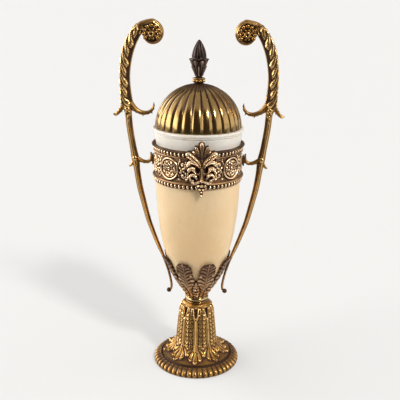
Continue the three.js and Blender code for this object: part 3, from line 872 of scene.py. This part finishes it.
# Round curls and berries of one side: place across and up, half axes across and up, and height.
FACE_BEADS = [
    # curled tips of the brow leaves and of the low side leaves
    (16.8, 53.2, 2.4, 2.0, 6.0),
    (10.6, 18.6, 2.4, 2.2, 4.8),
    # tassel of berries and the drop
    (0, 15.2, 2.6, 2.8, 5.0),
    (3.9, 15.0, 2.3, 2.4, 4.4),
    (1.7, 10.2, 1.8, 2.0, 4.0),
    (0, 7.2, 1.5, 1.8, 3.6),
    (0, 2.2, 1.5, 1.9, 3.4),
]


def leafy_face(x, z, chasing):
    """Height of the cartouche over its own ground: x from the middle line, z above the drop's tip."""
    side = np.abs(x)
    ground = 1.2 + 2.2 * bump(x, 9) * bump(z - 34, 22)
    ridge_over_brow = [(px - 0.4, pz - 3.0, 1.0) for px, pz, _ in BROW[1:]]
    parts = [stroke(side, z, ridge_over_brow, 0.95, 6.6)]
    for line, width, tall, vein in FACE_LEAVES:
        parts.append(stroke(side, z, line, width, tall, vein * chasing))
    for across, up, half_across, half_up, tall in FACE_BEADS:
        parts.append(tall * dome(side - across, z - up, half_across, half_up))
    height = np.maximum(ground, np.maximum.reduce(parts))
    hollows = 4.6 * dome(side - 4.6, z - 35.0, 2.9, 4.4) ** 0.6 + 2.4 * dome(side - 4.0, z - 26.2, 1.6, 2.6)
    height -= np.minimum(hollows, height - 0.2) * (side > 1.0)
    return height + 0.3 * chasing * np.cos(2.3 * side + 1.7 * z) * np.cos(1.5 * z - 1.3 * side)


# %% mask: the casting
# Radii of the back and of the ground, and the height that the rings of the grid close in on.
MASK_BACK_R, MASK_GROUND_R, MASK_MIDDLE = 56.6, 59.6, 35.5
HALF_OUTLINE = [
    (0, 69), (3.2, 67.2), (4.6, 63.4), (8.2, 64.0), (8.8, 59.6), (12.0, 57.4), (16.4, 57.6), (19.0, 54.6),
    (17.2, 49.6), (17.4, 44), (18.4, 37.6), (16.2, 33.4), (17.0, 28.6), (14.8, 24), (13.3, 19.5),
    (10.6, 16.2), (6.6, 13.4), (4.2, 10.0), (2.2, 6.2), (1.6, 2.6), (0, 0.2),
]


def make_mask(name, node, turn, chasing):
    """Rings of points, from the leafy outline in to the middle, bent round the collar."""
    outline = HALF_OUTLINE + [(-x, z) for x, z in HALF_OUTLINE[-2:0:-1]]
    loop = rounded(np.array(outline + outline[:1], float), 8)[:-1]
    loop = np.concatenate([loop, loop[:1]])
    loop = evenly(loop, 301)[:-1]
    shares = np.concatenate([[0.97, 1.0, 1.0], 1 - np.linspace(0, 0.985, 74)])
    x = loop[None, :, 0] * shares[:, None]
    z = MASK_MIDDLE + (loop[None, :, 1] - MASK_MIDDLE) * shares[:, None]
    height = leafy_face(x, z, chasing)
    height = height * (0.35 + 0.65 * smooth(0, 0.06, 1 - shares))[:, None]
    radius = MASK_GROUND_R + height
    radius[0], radius[1], radius[2] = MASK_BACK_R, MASK_BACK_R + 0.5, MASK_GROUND_R - 0.6
    surface = around(radius, z + MASK_LOW[2], x / MASK_GROUND_R)
    relief = relief_of(height, 7, 9, 1.3)
    # Painted shade: the tuft on the brow is painted darker.
    relief -= 0.32 * bump(x, 5.5 + 0.25 * (z - 46)) * smooth(46, 50, z) * (1 - smooth(64, 67, z))
    relief[:3] = 0.25
    shell = Shell()
    shell.grid(surface[:, ::-1], relief[:, ::-1], caps=(True, True))
    return shell.object(name, "rosy_gilt", ROSY_GILT, node, turn=turn, sharp=70)


make_mask("leaf_mask_front", "mask_front", COLLAR_TURN, 1.0)
make_mask("leaf_mask_back", "mask_back", COLLAR_TURN + 180, 0.6)

# %% [markdown]
# ## The lid
# Thin brass raised over a stake into a dome, then chased into twenty-six round ribs that narrow towards the
# top. It is hollow and rests on the stone lip. The ribs are polished and the lines between them keep a
# brown tarnish. Low down the grooves are painted lighter, a painted reflection of the lit screens and the
# table, and the metal is darker towards the crown.

# %% lid
LID_RIBS = 26


def make_lid():
    """Up the inside of the dome, over its edge and up the ribbed outside to the crown."""
    base_z, top = LID_LOW[2], LID_HIGH[2]
    wide, rise, wall = LID_HIGH[0], 54.0, 2.2
    columns, rows, inner_rows = LID_RIBS * 18, 76, 26
    angle = np.arange(columns) * TAU / columns
    t = np.abs((angle * LID_RIBS / TAU + 0.5) % 1 - 0.5) * 2
    valley = 0.9 * t**2.8 + 0.1 * smooth(0.9, 1.0, t)
    turn = np.radians(np.linspace(0, 80.9, rows))
    r, z = (wide - 0.05) * np.cos(turn), base_z + rise * np.sin(turn)
    r = np.concatenate([[wide - 1.0, wide - 0.3], r])
    z = np.concatenate([[base_z, base_z + 0.25], z + 0.6 * np.exp(-turn * 30)])
    depth = np.minimum(1.7, 0.05 * r) * np.concatenate([[0.6, 0.9], np.ones(rows)])
    base = around(r[:, None], z[:, None], angle[None, :])
    outside = raised(base, -depth[:, None] * valley[None, :])
    share = np.concatenate([[0, 0], np.linspace(0, 1, rows)])[:, None]
    # Tarnish darkens the grooves above the lowest fifth of the dome. Below that it fades out, so the grooves
    # low down are left light as a painted reflection of the lit screens and the table.
    groove_tarnish_and_painted_reflection = 0.5 * smooth(0.5, 0.92, t)[None, :] * smooth(0.2, 0.5, share)
    relief = 0.56 - groove_tarnish_and_painted_reflection - 0.3 * smooth(0.72, 0.92, share)
    # Painted reflection: the grooves low down are painted brighter still.
    relief = relief + 0.2 * smooth(0.6, 0.9, t)[None, :] * (1 - smooth(0.1, 0.4, share))
    crown = around(5.0, top, angle[None, :])
    turn = np.radians(np.linspace(0, 88, inner_rows))[::-1]
    inner_r, inner_z = (wide - wall - 1) * np.cos(turn), base_z + (rise - wall) * np.sin(turn)
    inner = around(inner_r[:, None], inner_z[:, None], angle[None, :])
    marks = np.concatenate([np.full((inner_rows, columns), 0.35), relief, np.full((1, columns), 0.2)])
    shell = Shell()
    shell.grid(np.concatenate([inner, outside, crown]), np.clip(marks, 0, 1), caps=(True, True))
    return shell.object("dome_lid", "polished_brass", POLISHED_BRASS, "lid", sharp=60)


make_lid()

# %% [markdown]
# ## The finial
# On the lid stands a ring of ten cast beads under a small flange. Above it is a bud, nearly black: two
# rounds of pointed leaves that open into an everted rim, and out of them a ribbed, pointed bud.


# %% bead ring
BEADS, BEAD_CIRCLE_R = 10, 6.0


def make_bead_ring():
    """A core with a flange on top, and the beads round it."""
    low, high = BEADS_LOW[2], BEADS_HIGH[2]
    columns = 96
    line = rounded(
        [
            (5.4, low), (5.2, low + 1.2), (4.9, low + 2.6), (5.3, low + 4.2), (7.2, low + 4.6),
            (8.2, low + 5.2), (7.9, low + 5.9), (6.2, low + 6.3), (5.2, high),
        ],
        6,
    )
    base, _ = turned(line, columns)
    relief = 0.28 + 0.45 * smooth(6.6, 8.0, line[:, :1]) * np.ones((1, columns))
    shell = Shell()
    shell.grid(base, np.clip(relief, 0, 1), caps=(True, True))
    for k in range(BEADS):
        turn = TAU * (k + 0.5) / BEADS
        centre = (BEAD_CIRCLE_R * math.sin(turn), -BEAD_CIRCLE_R * math.cos(turn), low + 2.6)
        shell.ball(centre, (1.95, 1.95, 2.3), 0.66, 16, 12)
    return shell.object("bead_row", "antique_gilt", ANTIQUE_GILT, "bead_ring")


make_bead_ring()


# %% finial
def make_finial():
    """A stem that opens into the leafy cup, and the ribbed bud out of it."""
    low, tip = FINIAL_LOW[2], FINIAL_HIGH[2]
    cup = [
        (4.2, low), (4.4, low + 1.4), (5.2, low + 4.6), (6.9, low + 8.6), (8.5, low + 13), (9.8, low + 17),
        (11.7, low + 20.4), (12.9, low + 21.8), (12.4, low + 22.6),
    ]
    bud = [
        (10.2, low + 22.7), (9.4, low + 23.2), (9.5, low + 25.4), (9.1, low + 28.6), (8.1, low + 32.4),
        (6.6, low + 36.4), (4.8, low + 40), (2.9, low + 43), (1.2, low + 44.9), (0.3, tip),
    ]
    line = evenly(rounded(cup + bud, 8), 150)
    base, angle = turned(line, 144)
    r, z = line[:, :1], line[:, 1:2] - low
    travelled = distances(line)[:, None]
    rim = np.interp(low + 21.8, line[:75, 1], travelled[:75, 0])

    def tier(start, end, shift, tall):
        """One round of eight pointed leaves between two distances along the line."""
        phase = np.abs((angle[None, :] * 8 / TAU + shift) % 1 - 0.5) * 2
        share = (travelled - start) / (end - start)
        point = np.clip((1 - share) * 2.2, 0, 1) ** 0.7
        body = np.sqrt(np.clip(1 - (phase / np.maximum(point, 0.05)) ** 2, 0, 1))
        body = body * (share > -0.05) * (share < 1)
        return tall * body * (0.55 + 0.45 * share) + 0.5 * bump(phase, 0.13) * body

    lower = tier(2.0, rim * 0.62, 0.5, 1.0)
    upper = tier(rim * 0.30, rim * 1.02, 0.0, 0.8)
    in_cup = travelled < rim + 1.5
    flutes = -0.95 * (1 - np.abs(np.cos(5 * angle)) ** 0.7)[None, :]
    flutes = flutes * smooth(23.2, 25, z) * (1 - smooth(42.5, 44.6, z))
    height = np.where(in_cup, np.maximum(lower, upper), flutes) - 0.25
    notch = 1.7 * (1 - np.abs(np.cos(4 * angle)) ** 0.8)[None, :] * bump(travelled - rim, 1.8)
    surface = raised(base, height)
    surface[..., :2] *= (1 - notch / np.maximum(r, 1))[..., None]
    surface[..., 2] -= notch * 0.7
    relief = relief_of(height - notch, 6, 7, 0.6) + np.where(in_cup, 0.2, -0.06)
    shell = Shell()
    shell.grid(surface, np.clip(relief, 0, 1), caps=(True, True))
    return shell.object("bud_finial", "black_bronze", BLACK_BRONZE, "finial", sharp=60)


make_finial()

# %% [markdown]
# ## The handles
# Each handle is one casting. It starts as a scroll that winds round a boss in a ring of beads, comes down
# as an arm clothed in acanthus, with the leaf tips lying one over the other like scales, throws out a
# tendril to either side, and goes on as a slim rod to the leaves under the vessel. A bracket halfway down
# ties it to the collar, and a thin tail with a small ball hangs off the end, beside the root that lies down
# along the leaves. The line runs from the scroll's eye to the tail's tip and is drawn once. The left handle
# is the right one turned half round.

# %% handle: bars and wheels
BOSS_X, BOSS_Z = HANDLE_HIGH[0] - 49.5, HANDLE_HIGH[2] - 17.2
VOLUTE_R, VOLUTE_SHRINK = 18.1, 0.82


def bar(shell, stations, rows, columns, ornament=None, boxy=1.0, depth=0.7, plain=0.5):
    """A bar along a line in the upright plane. Each station is (x, z, half width, half depth).

    The ornament gives a height and a change of relief for a distance travelled, a place across the bar
    (from -1 to 1), a share of the way up its face and the half width. Without one the bar stays plain.
    """
    path = evenly(rounded(stations, 12), rows)
    along = np.gradient(path[:, :2], axis=0)
    along /= np.linalg.norm(along, axis=1, keepdims=True)
    phi = TAU * np.arange(columns) / columns
    across = np.sign(np.cos(phi)) * np.abs(np.cos(phi)) ** boxy
    face = np.sign(np.sin(phi)) * np.abs(np.sin(phi)) ** boxy
    wide, deep = path[:, 2:3], path[:, 3:4]
    x = path[:, :1] + along[:, 1:2] * wide * across[None, :]
    z = path[:, 1:2] - along[:, :1] * wide * across[None, :]
    y = deep * face[None, :]
    surface = np.stack([x, y, z], -1)
    if ornament is None:
        shell.grid(surface, np.full((rows, columns), plain), caps=(True, True))
        return
    travelled = distances(path)
    height, tint = ornament(travelled[:, None], across[None, :], np.abs(face)[None, :], wide)
    relief = np.clip(relief_of(height, 7, 3, depth) + tint, 0, 1)
    shell.grid(raised(surface, height), relief, caps=(True, True))


def wheel(shell, centre_x, centre_z, line, relief, columns=48):
    """A turned part whose axis runs front to back. The line is (radius, y)."""
    r, y = line[:, :1], line[:, 1:2]
    turn = (np.arange(columns) * TAU / columns)[None, :]
    surface = np.stack([centre_x + r * np.cos(turn), y + 0 * turn, centre_z + r * np.sin(turn)], -1)
    shell.grid(surface[:, ::-1], relief * np.ones((len(line), columns)), caps=(True, True))


# %% handle: its lines
def scroll_line():
    """Stations of the scroll, from its inner end round to the start of the arm."""
    stations = []
    for degrees in range(360, 89, -15):
        outer = VOLUTE_R * VOLUTE_SHRINK ** ((degrees - 90) / 90)
        half = 5 - 3.2 * (degrees - 90) / 270
        at = math.radians(180 - degrees)
        middle = outer - half
        stations.append((BOSS_X - middle * math.cos(at), BOSS_Z + middle * math.sin(at), half, 5.4))
    return stations


X0, Z0 = BOSS_X - 58.1, BOSS_Z - 438.4


def shifted(stations):
    """Stations measured on the drawing, moved to where the frame has the boss."""
    return [(x + X0, z + Z0, *rest) for x, z, *rest in stations]


ARM = shifted([
    (70.2, 447.2, 5.8, 5.4), (78.3, 437.5, 6.6, 5.4), (84.8, 424.5, 7, 5.4), (88.7, 411, 6.9, 5.3),
    (90.9, 396, 6.5, 5.2), (91.4, 381, 6.4, 5.1), (90.6, 365, 6.9, 5), (89.4, 353, 7.4, 5),
    (88.6, 345.5, 5.2, 4.4),
])
ROD = shifted([
    (88, 339, 4.3, 3.4), (86.5, 322, 4.2, 3.1), (82.9, 298, 4.2, 3.1), (80.6, 285, 4.9, 3.8),
    (79.2, 276, 4.5, 3.6), (78.2, 267, 4, 3.1), (75.4, 248, 3.9, 3), (71.3, 229.5, 3.7, 3),
    (64.3, 201.5, 3.3, 2.8), (59.6, 187.5, 3, 2.7), (54.6, 173.8, 2.8, 2.6), (49.4, 160.5, 2.5, 2.4),
    (46, 152.5, 2.1, 2.2),
])
TAIL = shifted([
    (42.4, 142.5, 1.9, 1.9), (38.8, 131, 1.7, 1.7), (35.6, 118, 1.6, 1.6), (34.2, 108.5, 1.6, 1.6),
    (34.8, 102.4, 1.5, 1.6),
])
INNER_TENDRIL = shifted([
    (86, 354, 4.4, 4), (80.8, 347.8, 3.6, 3.6), (76, 344.3, 2.9, 3), (70, 342.2, 2.6, 2.6),
    (63.5, 342.6, 2.2, 2.2), (58.8, 345.8, 1.8, 1.8), (56.6, 350.4, 1.2, 1.3), (56.3, 355.4, 0.3, 0.3),
])
OUTER_TENDRIL = shifted([
    (94, 351, 3.2, 3), (97.6, 345.6, 2.5, 2.4), (100.9, 341.4, 2.0, 2.0), (104.4, 339.0, 1.6, 1.6),
    (107.4, 339.9, 0.5, 0.5),
])
ROOT = shifted([
    (45, 150.4, 1.9, 2.1), (41.4, 144.4, 1.6, 1.9), (37.6, 138.2, 1.3, 1.6), (33.1, 128.5, 0.7, 0.9),
])
BRACKET = shifted([
    (80.4, 285, 3.4, 3), (75.4, 282.0, 2.7, 2.6), (70, 279.6, 2.2, 2.3), (64.6, 279.2, 2.1, 2.2),
    (60.9, 281.8, 2.0, 2.1), (59.9, 286.6, 1.5, 1.8), (60.6, 291.4, 0.5, 0.8),
])
BRACKET_HOOK = shifted([
    (80.4, 282, 3, 2.6), (84, 276.6, 2, 2), (87, 273.2, 1.4, 1.4), (88.8, 273.6, 0.4, 0.4),
])
BRACKET_PAD = shifted([
    (58.0, 275.6, 0.6, 1.4), (57.5, 279.8, 1.9, 3.2), (57.5, 286.4, 1.5, 3), (57.6, 290.4, 0.6, 1.2),
])
# Small spurs under the tendrils and along the bracket: where each starts and how far it reaches.
SPURS = [
    (71.0, 340.6, -1.6, -3.2), (59.6, 343.6, -1.4, -3.0), (73.6, 281.0, -1.2, -2.6),
    (97.2, 345.0, -1.0, -3.0),
]
# Leaves knotted where the arm ends and over the bracket: x, y, z, half axes, relief and columns.
KNOT_LEAVES = [
    (88.9, 4.6, 347.4, (3.4, 1.9, 2.6), 0.95, 18),
    (86.0, 3.7, 342.2, (1.5, 1.4, 4.2), 0.85, 14),
    (90.2, 3.5, 341.6, (1.4, 1.3, 4.0), 0.7, 14),
    (88.2, 3.3, 335.0, (1.5, 1.3, 5.4), 0.9, 14),
    (80.6, 3.6, 284.0, (2.9, 1.6, 3.2), 0.9, 16),
    (79.2, 3.2, 277.0, (1.6, 1.3, 4.2), 0.8, 14),
]
print(f"each handle is drawn with {len(ARM) + len(ROD) + len(TAIL)} stations below its scroll")


# %% handle: the carving
def handle_ornament(arm_start, arm_end):
    """The carving of the long bar: a hollowed scroll, the leafy arm and a ridge down the rod, with painted
    highlight and painted shade on the arm and rod.
    """

    def carve(travelled, across, face, wide):
        # On the arm and rod, across is +1 on the side towards the vessel and -1 on the outer side.
        up = arm_end - travelled
        length = arm_end - arm_start
        on_arm = smooth(-1, 5, up) * (1 - smooth(length - 4, length + 3, up))
        inward = wide * (1 + across)
        swept = up + 3.4 * inward - 0.17 * inward**2
        ridge = np.abs(np.cos(math.pi * swept / 12.4))
        tip = wide * (1.14 + 0.34 * ridge + 0.16 * np.cos(math.pi * swept / 12.4))
        leaf = 2.3 * ridge**0.9 + 0.3 * np.cos(TAU * swept / 4.13)
        leaf *= 1 - 0.2 * smooth(-4.5, 0, inward - tip)
        leaf *= 1 - smooth(-0.8, 0.8, inward - tip)
        face = smooth(0.1, 0.75, face)
        serrated = 0.8 * np.abs(np.cos(math.pi * up / 5.2)) * (1 - smooth(-0.98, -0.8, across))
        arm = on_arm * (face * (leaf - 1.0 * (across < 0.9)) + serrated)
        frill = 1.9 * bump(up - length + 5.5 + 2 * across**2, 2.4)
        frill = frill * np.abs(np.cos(1.6 * math.pi * across)) * face
        in_scroll = smooth(length - 2, length + 8, up)
        hollowed = -1.7 * smooth(-0.14, 0.06, across) * face * in_scroll
        lines = -0.5 * bump(across + 0.52, 0.06) * face * in_scroll
        on_rod = smooth(4, 12, -up)
        ridge_line = (1.25 * bump(across + 0.16, 0.3) - 0.35) * face * on_rod
        height = arm + frill + hollowed + lines + ridge_line
        # Painted shade: the side of the arm towards the vessel is painted darker.
        tint = -0.10 * on_arm * smooth(0.3, 0.5, across) + 0.02 * in_scroll * (across < 0)
        # Painted highlight: a bright line down the rod, a little towards its outer side, and painted shade on
        # its side towards the vessel.
        rod_painted_highlight_and_shade = 0.42 * bump(across + 0.16, 0.34) + 0.1 - 0.16 * smooth(0.15, 0.5, across)
        tint = tint + on_rod * rod_painted_highlight_and_shade + 0.06 * on_arm
        return height, tint - 0.42 * in_scroll * smooth(-0.1, 0.1, across)

    return carve


def leafy(travelled, across, face, wide):
    """The lighter carving of the small branches: a frilled edge and a soft rib."""
    frill = 0.7 * np.abs(np.cos(math.pi * travelled / 4.4)) * smooth(0.5, 0.9, -across)
    return frill + 0.35 * bump(across, 0.3) * face, 0.0


# %% handle: boss and beads of the scroll
PETALS, PETAL_CIRCLE_R = 8, 5.9
ARC_BEADS = 9


def add_boss(shell):
    """A plain wheel, and on either face of it a turned boss, eight petals and an arc of nine beads."""
    wheel(shell, BOSS_X, BOSS_Z, np.array([(9.6, -3.2), (10.4, -2.4), (10.4, 2.4), (9.6, 3.2)]), 0.2)
    for side in (-1, 1):
        boss = [(4.2, 2.8), (4.3, 4.4), (3.6, 5.7), (2.5, 6.0), (1.6, 5.4), (1.2, 3.8), (0.5, 3.4)]
        ring = rounded(boss, 5)
        ring[:, 1] *= side
        tint = np.where(ring[:, :1] > 1.5, 0.72, 0.08)
        order = slice(None, None, -side)
        wheel(shell, BOSS_X, BOSS_Z, ring[order], tint[order], 40)
        for k in range(PETALS):
            turn = TAU * (k + 0.5) / PETALS
            x, z = PETAL_CIRCLE_R * math.cos(turn), PETAL_CIRCLE_R * math.sin(turn)
            centre = (BOSS_X + x, side * 3.5, BOSS_Z + z)
            shell.ball(centre, (1.5, 1.2, 1.5), 0.6, 12, 8)
        for k in range(ARC_BEADS):
            degrees = -30 + 30 * k
            out = 10.6 - 2.2 * abs(degrees - 80) / 140
            turn = math.radians(180 - degrees)
            centre = (BOSS_X + out * math.cos(turn), side * 4.0, BOSS_Z + out * math.sin(turn))
            shell.ball(centre, (2.45, 1.8, 2.45), 0.64, 16, 12)


# %% handle: the casting
def make_handle(name, node, turn):
    """The long bar from the scroll's eye to the tail's tip, with its branches, knots, boss and end ball."""
    shell = Shell()
    scroll_part = scroll_line()
    full = scroll_part + ARM + ROD + TAIL
    steps = 12
    gone = distances(rounded(full, steps))
    arm_start = gone[steps * len(scroll_part)]
    arm_end = gone[steps * (len(scroll_part) + len(ARM) - 1)]
    bar(shell, full, 840, 40, handle_ornament(arm_start, arm_end), boxy=0.82, depth=0.6)
    bar(shell, INNER_TENDRIL, 90, 20, leafy)
    bar(shell, ROOT, 60, 16, leafy)
    bar(shell, OUTER_TENDRIL, 50, 16, leafy)
    bar(shell, BRACKET_HOOK, 30, 16, plain=0.55)
    bar(shell, BRACKET, 70, 18, leafy)
    bar(shell, BRACKET_PAD, 30, 16, plain=0.3)
    for x, z, dx, dz in SPURS:
        spur = [(x, z + 1.2, 1.5, 1.3), (x + dx * 0.5, z + dz * 0.4, 1.0, 1.0), (x + dx, z + dz, 0.25, 0.3)]
        bar(shell, shifted(spur), 14, 12, plain=0.6)
    for side in (-1, 1):
        for x, y, z, radii, relief, columns in KNOT_LEAVES:
            shell.ball((x + X0, side * y, z + Z0), radii, relief, columns, 12)
    add_boss(shell)
    shell.ball((37.6 + X0, 0, 100.8 + Z0), (3.2, 3.1, 3.1), 0.3, 20, 14)
    return shell.object(name, "antique_gilt", ANTIQUE_GILT, node, turn=turn, sharp=60)


make_handle("scroll_handle_right", "handle_right", 0)
make_handle("scroll_handle_left", "handle_left", 180)

# %% [markdown]
# ## Table, light and eye
# The urn stands on a plain pale table that runs back out of sight. The room is a small studio: tall lit
# screens at either side, a broad one overhead, a faint one behind the urn and darkness in front, because
# polished metal shows its shape by what it mirrors. So the strip of table nearest the eye is shaded: it
# looks as pale as the rest, but the urn mirrors it as dark. One far lamp, from the front right, throws the
# soft shadow. The eye is a little under a metre away and looks down by seventeen degrees.


# %% table
TABLE_SIDE, TABLE_BACK, SHADE_EDGE = 30, 60, -0.42


def make_table(name, near, far, pale, glow_seen, glow_felt, cast):
    """A strip of table, in metres. What the eye sees of its glow may differ from what the urn mirrors."""
    mesh = bpy.data.meshes.new(name)
    corners = [(-TABLE_SIDE, near, 0), (TABLE_SIDE, near, 0), (TABLE_SIDE, far, 0), (-TABLE_SIDE, far, 0)]
    mesh.from_pydata(corners, [], [(0, 1, 2, 3)])
    table = bpy.data.objects.new(name, mesh)
    bpy.context.scene.collection.objects.link(table)
    material = bpy.data.materials.new(name)
    material.use_nodes = True
    tree = material.node_tree
    shader = tree.nodes["Principled BSDF"]
    place = tree.nodes.new("ShaderNodeTexCoord").outputs["Object"]
    first, second = ((grey, grey, grey, 1) for grey in (pale, pale + 0.01))
    tint = mixed(tree, noise(tree, place, 3, 2), first, second)
    tree.links.new(tint, shader.inputs["Base Color"])
    shader.inputs["Roughness"].default_value = 0.8
    shader.inputs["Specular IOR Level"].default_value = 0.1
    shader.inputs["Emission Color"].default_value = cast
    seen = tree.nodes.new("ShaderNodeLightPath").outputs["Is Camera Ray"]
    glow = number(tree, "MULTIPLY_ADD", seen, glow_seen - glow_felt, glow_felt)
    tree.links.new(glow, shader.inputs["Emission Strength"])
    mesh.materials.append(material)


make_table("pale_table", SHADE_EDGE, TABLE_BACK, 0.43, 0.325, 0.2, (0.955, 0.98, 1, 1))
make_table("shaded_table", -TABLE_SIDE, SHADE_EDGE, 0.03, 0.9, 0.02, (1, 0.99, 0.97, 1))
print(f"two strips of table, joined {-SHADE_EDGE:.2f} m in front of the urn")


# %% lamp and lit screens
def screen(tree, turn_round, turn_up, middle, half, low, high):
    """1 within `half` degrees of the screen's middle and between two heights, with soft edges."""
    off = number(tree, "ABSOLUTE", number(tree, "SUBTRACT", turn_round, math.radians(middle)))
    across = ramped(tree, off, math.radians(half - 7), math.radians(half + 7), 1.0, 0.0)
    above = ramped(tree, turn_up, math.radians(low - 6), math.radians(low + 6))
    below = ramped(tree, turn_up, math.radians(high - 6), math.radians(high + 6), 1.0, 0.0)
    return number(tree, "MULTIPLY", across, number(tree, "MULTIPLY", above, below))


LAMP_DIRECTION = (-0.64, 0.73, -0.86)
lamp = bpy.data.lights.new("far_lamp", "SUN")
lamp.energy, lamp.angle, lamp.color = 1.8, math.radians(9), (1, 0.98, 0.95)
far_lamp = bpy.data.objects.new("far_lamp", lamp)
far_lamp.rotation_euler = Vector(LAMP_DIRECTION).to_track_quat("-Z", "Y").to_euler()
bpy.context.scene.collection.objects.link(far_lamp)

# Each screen in degrees: middle (0 in front, 90 right), half width, lowest and highest; and its brightness.
# The overhead one goes all the way round.
SCREENS = [
    (82, 38, -8, 26, 1.8),
    (84, 34, 26, 54, 0.9),
    (-98, 45, -8, 26, 5.3),
    (-98, 40, 26, 54, 1.9),
    (0, 400, 54, 200, 0.76),
    (180, 70, -20, 60, 0.35),
]
DIM_ROOM, PALE_BACKDROP = 0.11, 0.92

world = bpy.data.worlds.new("studio")
world.use_nodes = True
room = world.node_tree
way = room.nodes.new("ShaderNodeSeparateXYZ")
room.links.new(room.nodes.new("ShaderNodeTexCoord").outputs["Generated"], way.inputs["Vector"])
turn_round = number(room, "ARCTAN2", way.outputs["X"], number(room, "MULTIPLY", way.outputs["Y"], -1.0))
turn_up = number(room, "ARCSINE", way.outputs["Z"])
glow = 0.0
for middle, half, low, high, brightness in SCREENS:
    lit = screen(room, turn_round, turn_up, middle, half, low, high)
    glow = number(room, "MULTIPLY_ADD", lit, brightness, glow)
backdrop = room.nodes["Background"]
seen = room.nodes.new("ShaderNodeLightPath").outputs["Is Camera Ray"]
strength = number(room, "MULTIPLY", glow, 1.0, clamp=True)
hue = mixed(room, strength, (0.85, 0.68, 0.52, 1), (1, 0.985, 0.96, 1))
room.links.new(mixed(room, seen, hue, (1, 0.99, 0.97, 1)), backdrop.inputs["Color"])
unseen = number(room, "SUBTRACT", 1.0, seen)
felt = number(room, "MULTIPLY", unseen, number(room, "ADD", glow, DIM_ROOM))
room.links.new(number(room, "MULTIPLY_ADD", seen, PALE_BACKDROP, felt), backdrop.inputs["Strength"])
bpy.context.scene.world = world
bpy.context.scene.view_settings.view_transform = "Standard"
print(f"one far lamp and {len(SCREENS)} lit screens")

# %% camera
PITCH, ROLL, ORBIT = math.radians(17.12), math.radians(0.65), math.radians(1.7)
EYE_X, EYE_Y, EYE_Z = 3.03, -855.0, 492.6
eye = bpy.data.cameras.new("eye")
eye.sensor_width = 36
eye.lens = 61.9
camera = bpy.data.objects.new("eye", eye)
cosine, sine = math.cos(ORBIT), math.sin(ORBIT)
camera.location = ((cosine * EYE_X - sine * EYE_Y) * MM, (sine * EYE_X + cosine * EYE_Y) * MM, EYE_Z * MM)
camera.rotation_mode = "QUATERNION"
upright = Euler((math.pi / 2 - PITCH, 0, ORBIT)).to_quaternion()
camera.rotation_quaternion = upright @ Quaternion((0, 0, 1), ROLL)
bpy.context.scene.collection.objects.link(camera)
bpy.context.scene.camera = camera
print(f"the eye is {camera.location.length:.2f} m from the foot's underside")
